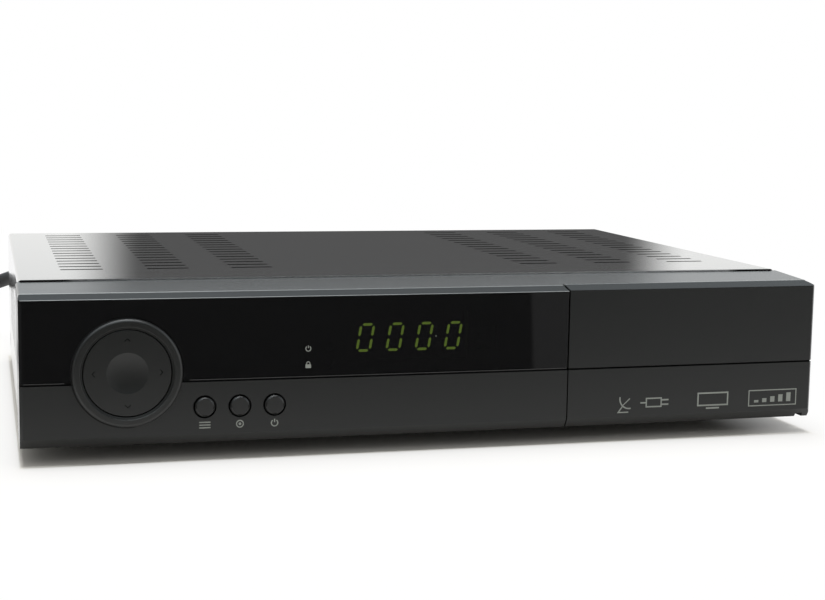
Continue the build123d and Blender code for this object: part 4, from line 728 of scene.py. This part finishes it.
FLAT_HEAD = ((0, -6), (1.1, -6), (1.5, -5.4), (1.5, -0.8), (FLAT_R, -0.02), (FLAT_R, 0), (cross(1.0), 0),
             (cross(0.72), -0.9), (0, -1.1))


def rear_screws(made):
    low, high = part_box("cover_rear_screws")
    z = middle("cover_rear_screws").z
    for x in (low.x + PAN_R * MM, 0, high.x - PAN_R * MM):
        place = placed((x, REAR_Y + WASHER * MM, z), X, Z, Y)
        lathe(made, pan_head(REAR_SCREW_LENGTH), place, CROSS_ANGLES)


def side_screws(made):
    low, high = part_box("cover_side_screws")
    z = middle("cover_side_screws").z
    for side in (-1, 1):
        for y in (low.y + FLAT_R * MM, high.y - FLAT_R * MM):
            lathe(made, FLAT_HEAD, placed((side * high.x, y, z), Y, Z, side * X), CROSS_ANGLES)


def foot_screws(made):
    low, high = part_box("foot_screws")
    under = low.z + PAN_HIGH * MM
    profile = pan_head((high.z - under) / MM)
    for side in (-1, 1):
        for y in (low.y + PAN_R * MM, high.y - PAN_R * MM):
            lathe(made, profile, placed((side * (high.x - PAN_R * MM), y, under), X, Y, -Z), CROSS_ANGLES)


def make_screws():
    for name, build, slot in (("cover_rear_screws", rear_screws, "screw_black"),
                              ("cover_side_screws", side_screws, "screw_black"),
                              ("foot_screws", foot_screws, "screw_steel")):
        made = piece(name + "_cross", build, slot)
        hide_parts(name)


# ------------------------------------------------------------------ aerial sockets
THREAD_R, THREAD_ROOT_R = 4.7, 4.28
THREAD_PITCH, THREAD_TURNS, THREAD_START = 0.79, 11, 4.6
BORE_R, BORE_DEPTH = 3.0, 3.6
NUT_FLAT, NUT_CORNER = 5.54, 6.4      # half the width across the flats and across the corners
NUT_FOOT, NUT_TOP, NUT_CHAMFER = 2.1, 4.1, 0.25
ROUND_ANGLES = [12 * i for i in range(30)]
NUT_ANGLES = [7.5 * i for i in range(48)]
# Heights from the socket's mouth
INSULATOR = ((0, -3.5), (2.95, -3.5), (2.95, -1.5), (2.6, -1.25), (1.0, -1.25), (0.75, -1.5), (0.75, -3.2),
             (0, -3.2))
CONTACT = ((0, -3.15), (0.7, -3.15), (0.7, -1.7), (0.45, -1.8), (0.4, -2.9), (0, -2.9))


def hexagon(cap=NUT_CORNER):
    """Outline of the nut, its corners rounded off at a radius."""
    return lambda angle: min(cap, NUT_FLAT / math.cos(math.radians(30 - angle % 60)))


NUT = ((0, NUT_FOOT), (hexagon(6.0), NUT_FOOT), (hexagon(), NUT_FOOT + NUT_CHAMFER),
       (hexagon(), NUT_TOP - NUT_CHAMFER), (hexagon(5.85), NUT_TOP), (0, NUT_TOP))


def barrel(length):
    """The threaded barrel, from its foot."""
    thread = []
    for i in range(THREAD_TURNS):
        crest = THREAD_START + i * THREAD_PITCH
        thread += [(THREAD_R, crest), (THREAD_ROOT_R, crest + THREAD_PITCH / 2)]
    return ((0, 0), (THREAD_R, 0), *thread, (4.35, length), (BORE_R + 0.4, length), (BORE_R, length - 1.2),
            (BORE_R, length - BORE_DEPTH), (0, length - BORE_DEPTH))


def make_f_sockets():
    """Threaded barrels on hexagon nuts, each with an insulator and its contact."""
    low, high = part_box("f_connectors")
    z = middle("f_connectors").z
    profile = barrel((high.y - low.y) / MM)
    xs = (low.x + NUT_CORNER * MM, high.x - NUT_CORNER * MM)

    def sockets(made):
        for x in xs:
            place = placed((x, low.y, z), X, Z, Y)
            lathe(made, profile, place, ROUND_ANGLES)
            lathe(made, NUT, place, NUT_ANGLES)

    def inside(made, profile):
        for x in xs:
            lathe(made, profile, placed((x, high.y, z), X, Z, Y), ROUND_ANGLES)

    made = piece("f_connectors_threaded", sockets, "plated_steel")
    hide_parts("f_connectors")
    piece("f_insulators", lambda made: inside(made, INSULATOR), "header_plastic")
    piece("f_contacts", lambda made: inside(made, CONTACT), "pin_brass")


# ------------------------------------------------------------------ flat sockets and mains switch
USB_STRIPS = ((-3.5, 6.4), (-1.0, 5.6), (1.0, 5.6), (3.5, 6.4))    # place across and length of each contact
USB_STRIP_HALF, USB_STRIP_START, USB_STRIP_THICK = 0.5, 1.2, 0.05
USB_TONGUE_RISE = 0.2 * MM            # of the tongue's lower face, over the socket's middle
HDMI_STRIPS, HDMI_PITCH = 19, 0.5
HDMI_STRIP_HALF, HDMI_STRIP_SPAN, HDMI_STRIP_THICK = 0.2, (1.3, 6.5), 0.04
HDMI_TONGUE_TOP, HDMI_TONGUE_FOOT = 1.1 * MM, -0.2 * MM
ROCKER_FLAT = (-84.0, 92.99)          # x and y in the middle of the half that lies flat
ROCKER_RAISED = (-92.0, 94.59)        # and of the half that stands up
ROCKER_TILT = 20


def usb_strips(made):
    centre = middle("usb_front_socket")
    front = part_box("usb_front_socket")[0].y
    place = placed((centre.x, front, centre.z + USB_TONGUE_RISE), X, Y, -Z)
    for x, length in USB_STRIPS:
        strip = rectangle(x - USB_STRIP_HALF, x + USB_STRIP_HALF, USB_STRIP_START, USB_STRIP_START + length)
        slab(made, strip, USB_STRIP_THICK, place)


def hdmi_strips(made):
    """Contacts by turns on the upper and the lower face of the tongue."""
    centre = middle("hdmi_socket")
    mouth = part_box("hdmi_socket")[1].y
    faces = ((Z, HDMI_TONGUE_TOP), (-Z, HDMI_TONGUE_FOOT))
    for i in range(HDMI_STRIPS):
        x = (i - HDMI_STRIPS // 2) * HDMI_PITCH
        away, rise = faces[i % 2]
        strip = rectangle(x - HDMI_STRIP_HALF, x + HDMI_STRIP_HALF, *HDMI_STRIP_SPAN)
        slab(made, strip, HDMI_STRIP_THICK, placed((centre.x, mouth, centre.z + rise), X, -Y, away))


def switch_marks(made):
    """A bar on the flat half of the mains switch and a ring on the raised half."""
    z = middle("mains_switch_rocker").z
    x, y = ROCKER_FLAT
    slab(made, rectangle(-0.2, 0.2, -1.3, 1.3), PRINT_THICK, placed((x * MM, y * MM, z), X, Z, Y))
    x, y = ROCKER_RAISED
    c, s = polar(1, ROCKER_TILT)
    place = placed((x * MM, y * MM, z), Vector((c, -s, 0)), Z, Vector((s, c, 0)))
    stroke(made, ring(0, 0, 1.2), 0.4, PRINT_THICK, place, True)


def make_contacts():
    piece("usb_contacts", usb_strips, "pin_brass")
    piece("hdmi_contacts", hdmi_strips, "pin_brass")
    piece("switch_marks", switch_marks, "print_ink", "mains_switch")


# ------------------------------------------------------------------ display
DIGIT_XS = (-24.67, -15.1, -5.6, 3.95)
DIGIT_HEIGHT, DIGIT_WIDTH, DIGIT_FOOT = 9.0, 4.9, 26.2
DIGIT_SLANT = math.tan(math.radians(9.5))
BAR = 0.8
LIT_THICK, UNLIT_THICK = 0.08, 0.06
DOT_R = 0.22
DOT_X = (DIGIT_XS[2] + DIGIT_XS[3]) / 2 - 0.9
DOT_HEIGHT = DIGIT_FOOT + 4.4


def segment_outline(start, end):
    """A bar with pointed ends between two corners of a digit."""
    (x0, y0), (x1, y1) = start, end
    length = math.hypot(x1 - x0, y1 - y0)
    ux, uy = (x1 - x0) / length, (y1 - y0) / length
    half = BAR / 2
    gap = 0.55 * BAR
    points = []
    for along, across in ((gap, 0), (gap + half, half), (length - gap - half, half), (length - gap, 0),
                          (length - gap - half, -half), (gap + half, -half)):
        points.append((x0 + ux * along - uy * across, y0 + uy * along + ux * across))
    return points


def digit_segments(x):
    """The seven bars of one slanted digit: six that make a nought, then the middle one."""
    w, h = DIGIT_WIDTH / 2, DIGIT_HEIGHT / 2
    top, centre, low = h - BAR / 2, 0.0, BAR / 2 - h
    left, right = -w + BAR / 2, w - BAR / 2
    corners = [((left, top), (right, top)), ((right, top), (right, centre)), ((right, centre), (right, low)),
               ((right, low), (left, low)), ((left, low), (left, centre)), ((left, centre), (left, top)),
               ((left, centre), (right, centre))]
    segments = []
    for start, end in corners:
        outline = segment_outline(start, end)
        segments.append([(x + px + py * DIGIT_SLANT, DIGIT_FOOT + h + py) for px, py in outline])
    return segments[:6], segments[6]


def make_display():
    place = placed((0, DISPLAY_Y, UNDERSIDE_Z), X, Z, -Y)

    def lit_bars(made):
        for x in DIGIT_XS:
            for outline in digit_segments(x)[0]:
                slab(made, outline, LIT_THICK, place)

    def dark_bars(made):
        for x in DIGIT_XS:
            slab(made, digit_segments(x)[1], UNLIT_THICK, place)

    def dot(made):
        slab(made, ring(DOT_X, DOT_HEIGHT, DOT_R, 16), LIT_THICK, place)

    piece("display_digits_lit", lit_bars, "segment_light")
    piece("display_bars_unlit", dark_bars, "display_body")
    piece("display_dot", dot, "dot_light")


# ------------------------------------------------------------------ mains lead
CORD_DIAMETER = 6.0 * MM
OUTLET = (-119.0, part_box("cord_strain_relief")[1].y / MM)      # tip of the sleeve
COIL_CENTRE = (OUTLET[0] - 70.0, OUTLET[1] - 32.0)
COIL_MEAN_R = 39.6
LAYER_STEP = 6.0          # from turn to turn, along the floor and upward
OUTER_TURN = COIL_MEAN_R + LAYER_STEP
COIL_EXIT = 225
TURN_POINTS = 24
LOW, HIGH = 3.0, 9.0      # the lead's middle on the coil's two layers


def cord_route():
    """From the sleeve's tip round the corner of the box and down to the coil's outer turn."""
    x, y = OUTLET
    side = COIL_CENTRE[0] - OUTER_TURN
    return [(x, y, 31.7), (x, y + 15.2, 31.7), (x - 5.5, y + 31.2, 28.6), (x - 18.5, y + 43.2, 22.6),
            (x - 37.0, y + 48.7, 16.5), (x - 56.5, y + 47.2, 10.5), (x - 76.0, y + 40.2, 5.9),
            (x - 94.0, y + 27.7, 3.4), (side + 6.0, y + 7.2, LOW), (side, y - 13.8, LOW),
            (side, COIL_CENTRE[1], LOW)]


def tail_route():
    """From the coil's top turn down to the plug."""
    across, along = polar(OUTER_TURN, COIL_EXIT)
    x, y = COIL_CENTRE[0] + across, COIL_CENTRE[1] + along
    return [(x, y, HIGH), (x + 10.6, y - 10.6, HIGH), (x + 18.2, y - 24.8, 5.25), (x + 21.0, y - 40.6, 5.25)]


def eased(value, low, high):
    step = min(1.0, max(0.0, (value - low) / (high - low)))
    return step * step * (3 - 2 * step)


def coil_points():
    """Five turns: two steps inward on the lower layer, a climb, then two steps outward on the upper one."""
    points = []
    total = 5 * TURN_POINTS + TURN_POINTS // 8
    spread = 1 / math.cos(math.pi / TURN_POINTS)
    for i in range(1, total):
        turn = i / TURN_POINTS
        inward = eased(turn, 0.86, 1.0) + eased(turn, 1.86, 2.0)
        outward = eased(turn, 3.70, 3.86) + eased(turn, 4.70, 4.86)
        radius = (OUTER_TURN - LAYER_STEP * (inward - outward)) * spread
        across, along = polar(radius, 180 + 360 * turn)
        height = LOW + (HIGH - LOW) * eased(turn, 2.76, 2.94)
        points.append((COIL_CENTRE[0] + across, COIL_CENTRE[1] + along, height))
    return points


def make_cord():
    curve = bpy.data.curves.new("mains_lead", "CURVE")
    curve.dimensions = "3D"
    curve.bevel_depth = CORD_DIAMETER / 2
    curve.bevel_resolution = 5
    curve.resolution_u = 8
    curve.use_fill_caps = True
    points = cord_route() + coil_points() + tail_route()
    spline = curve.splines.new("NURBS")
    spline.points.add(len(points) - 1)
    for corner, point in zip(spline.points, points):
        corner.co = (*(c * MM for c in point), 1.0)
    spline.order_u = 3
    spline.use_endpoint_u = True
    lead = new_object("mains_lead", curve)
    curve.materials.append(MATERIALS["cord_sheath"])
    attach(lead, "receiver")
    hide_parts("mains_cord", "cord_coil", "plug_tail_cord")


# ------------------------------------------------------------------ finish of the CAD pieces
ROUNDED = {"front_fascia": 0.22, "flap_door": 0.25, **dict.fromkeys(BUTTONS, 0.6)}


def dress_nodes():
    """Gives each CAD piece its slot's material, and rounds the edges of the front's pieces a little."""
    slots = {entry["node"]: entry["material_slot"] for entry in frame["record"]["subparts"]}
    for name, thing in NODES.items():
        thing.data.materials.clear()
        thing.data.materials.append(MATERIALS[slots[name]])
    for name, width in ROUNDED.items():
        round_edges(NODES[name], width * MM)


def round_edges(thing, width):
    weld = thing.modifiers.new("weld", "WELD")
    weld.merge_threshold = 0.002 * MM
    flat = thing.modifiers.new("flat", "DECIMATE")
    flat.decimate_type = "DISSOLVE"
    flat.angle_limit = math.radians(0.03)
    bevel = thing.modifiers.new("round", "BEVEL")
    bevel.width = width
    bevel.segments = 2
    bevel.limit_method = "ANGLE"
    bevel.angle_limit = math.radians(28)
    bevel.miter_outer = "MITER_ARC"
    even = thing.modifiers.new("even", "WEIGHTED_NORMAL")
    even.weight = 100


# ------------------------------------------------------------------ studio
def sheet(name, xs, ys, zs, location):
    """A four-cornered sheet of the studio in the material of its name."""
    mesh = bpy.data.meshes.new(name)
    corners = [(xs[0], ys[0], zs[0]), (xs[1], ys[0], zs[0]), (xs[1], ys[1], zs[1]), (xs[0], ys[1], zs[1])]
    mesh.from_pydata(corners, [], [(0, 1, 2, 3)])
    made = new_object(name, mesh)
    made.location = location
    mesh.materials.append(MATERIALS[name])
    return made


def floor_paper():
    """White paper that takes the shadow near the box and is plain white farther out."""
    tree, shader, output = blank_material("floor")
    point = object_point(tree)
    grain = noise(tree, point, 3 * MM, 3.0)
    feed(tree, shader, Base_Color=mix(tree, grain, *PAPER_TONES), Roughness=0.9, Specular_IOR_Level=0.0)
    off_middle = out(node(tree, "VectorMath", operation="ABSOLUTE", i0=point))
    beside, before = (maths(tree, "MAXIMUM", maths(tree, "SUBTRACT", axis(tree, off_middle, i), half), 0.0)
                      for i, half in enumerate((HALF_WIDTH, -FRONT_Y)))
    beside = maths(tree, "MULTIPLY", beside, SHADOW_SIDE)
    reached = out(node(tree, "CombineXYZ", i0=beside, i1=before))
    away = out(node(tree, "VectorMath", operation="LENGTH", i0=reached), "Value")
    white = 1.0
    for share, reach in SHADOW_FADES:
        left_over = maths(tree, "EXPONENT", maths(tree, "MULTIPLY", away, -1 / reach))
        white = maths(tree, "SUBTRACT", white, maths(tree, "MULTIPLY", left_over, share))
    white = maths(tree, "MAXIMUM", white, ramp(tree, axis(tree, point, 0), *SHADOW_RIGHT, 0.0, RIGHT_PALER))
    path = node(tree, "LightPath")
    seen = maths(tree, "MAXIMUM", out(path, "Is Camera Ray"), out(path, "Is Glossy Ray"))
    plain = node(tree, "Emission", Color=WHITE, Strength=1.0)
    both = node(tree, "MixShader", i0=maths(tree, "MULTIPLY", white, seen), i1=out(shader), i2=out(plain))
    feed(tree, output, Surface=out(both))


def card_material(name, tone, level=True, fade=CARD_FADE, brighter=None):
    """A level or upright sheet that fades out toward its edges; brighter adds a lit part beyond a line."""
    tree, shader, output = blank_material(name)
    tree.nodes.remove(shader)
    across = out(node(tree, "TexCoord"), "Generated")
    fades = []
    for i in (0, 1) if level else (0, 2):
        place = axis(tree, across, i)
        side = maths(tree, "MINIMUM", place, maths(tree, "SUBTRACT", 1.0, place))
        fades.append(ramp(tree, side, 0.0, fade))
    strength = tone
    if brighter is not None:
        point = object_point(tree)
        along = maths(tree, "ADD", axis(tree, point, 0),
                      maths(tree, "MULTIPLY", axis(tree, point, 1), REFLECTION_SLOPE))
        strength = ramp(tree, along, -REFLECTION_SOFT, REFLECTION_SOFT, tone, brighter)
    glow = node(tree, "Emission", Color=WHITE, Strength=strength)
    both = node(tree, "MixShader", i0=maths(tree, "MULTIPLY", *fades), i1=out(node(tree, "BsdfTransparent")),
                i2=out(glow))
    feed(tree, output, Surface=out(both))


def only_reflected(made):
    for ray in ("camera", "diffuse", "shadow", "transmission", "volume_scatter"):
        setattr(made, "visible_" + ray, False)


def make_studio():
    all_round = (-PAPER_REACH, PAPER_REACH)
    floor_paper()
    sheet("floor", all_round, all_round, (0, 0), (0, 0, -PAPER_DROP))
    card_material("front_card", FRONT_CARD, brighter=FRONT_CARD_LIT)
    front_at = (REFLECTION_X, PAPER_EDGE, CARD_LIFT)
    only_reflected(sheet("front_card", FRONT_CARD_X, FRONT_CARD_Y, (0, 0), front_at))
    card_material("side_card", SIDE_CARD)
    only_reflected(sheet("side_card", SIDE_CARD_X, SIDE_CARD_Y, (0, 0), (0, 0, CARD_LIFT)))
    card_material("back_card", BACK_CARD, False, BACK_CARD_FADE)
    only_reflected(sheet("back_card", BACK_CARD_X, (0, 0), BACK_CARD_Z, BACK_CARD_AT))


def make_sky():
    """White to the eye and soft in its light. Reflections see a bright room, dark behind the camera."""
    world = bpy.data.worlds.new("sky")
    bpy.context.scene.world = world
    world.use_nodes = True
    tree = world.node_tree
    tree.nodes.clear()
    heading = out(node(tree, "TexCoord"), "Generated")
    x, y, z = (axis(tree, heading, i) for i in range(3))
    above = maths(tree, "MULTIPLY", ramp(tree, z, *ABOVE_RANGE, ROOM_DARK, ROOM_ABOVE),
                  ramp(tree, x, *ABOVE_RIGHT_RANGE, 1.0, ABOVE_RIGHT))
    right = ramp(tree, x, *RIGHT_RANGE, 0.0, ROOM_RIGHT)
    left = ramp(tree, x, *LEFT_RANGE, ROOM_LEFT, 0.0)
    front = maths(tree, "MAXIMUM", above, maths(tree, "MAXIMUM", left, right))
    low = ramp(tree, z, *BACK_HIGH_RANGE, 1.0, ROOM_BACK_HIGH)
    back = maths(tree, "MULTIPLY", ramp(tree, y, *BACK_RANGE), low)
    room = maths(tree, "MAXIMUM", front, back)
    tint = mix(tree, ramp(tree, z, *TINT_RANGE), LOW_TINT, HIGH_TINT)
    soft = node(tree, "Background", Color=WHITE, Strength=SKY_LIGHT)
    mirrored = node(tree, "Background", Color=tint, Strength=room)
    plain = node(tree, "Background", Color=WHITE, Strength=1.0)
    path = node(tree, "LightPath")
    shiny = maths(tree, "MAXIMUM", out(path, "Is Glossy Ray"), out(path, "Is Transmission Ray"))
    first = node(tree, "MixShader", i0=shiny, i1=out(soft), i2=out(mirrored))
    last = node(tree, "MixShader", i0=out(path, "Is Camera Ray"), i1=out(first), i2=out(plain))
    node(tree, "OutputWorld", Surface=out(last))


def make_lamp():
    """A square softbox over the box."""
    data = bpy.data.lights.new("softbox_above", "AREA")
    data.shape = "RECTANGLE"
    data.size = data.size_y = LAMP_SIZE
    data.energy = LAMP_POWER
    softbox = new_object("softbox_above", data)
    softbox.location = LAMP_AT
    softbox.rotation_mode = "QUATERNION"
    softbox.rotation_quaternion = (-Vector(LAMP_AT)).to_track_quat("-Z", "Y")


# ------------------------------------------------------------------ assembly of the scene
make_camera()
make_materials()
dress_nodes()
make_cord()
make_ring_lips()
make_display()
make_symbols()
make_window_edge()
make_arrows()
make_screws()
make_f_sockets()
make_contacts()
make_studio()
make_sky()
make_lamp()

bpy.context.scene.view_settings.view_transform = "Standard"
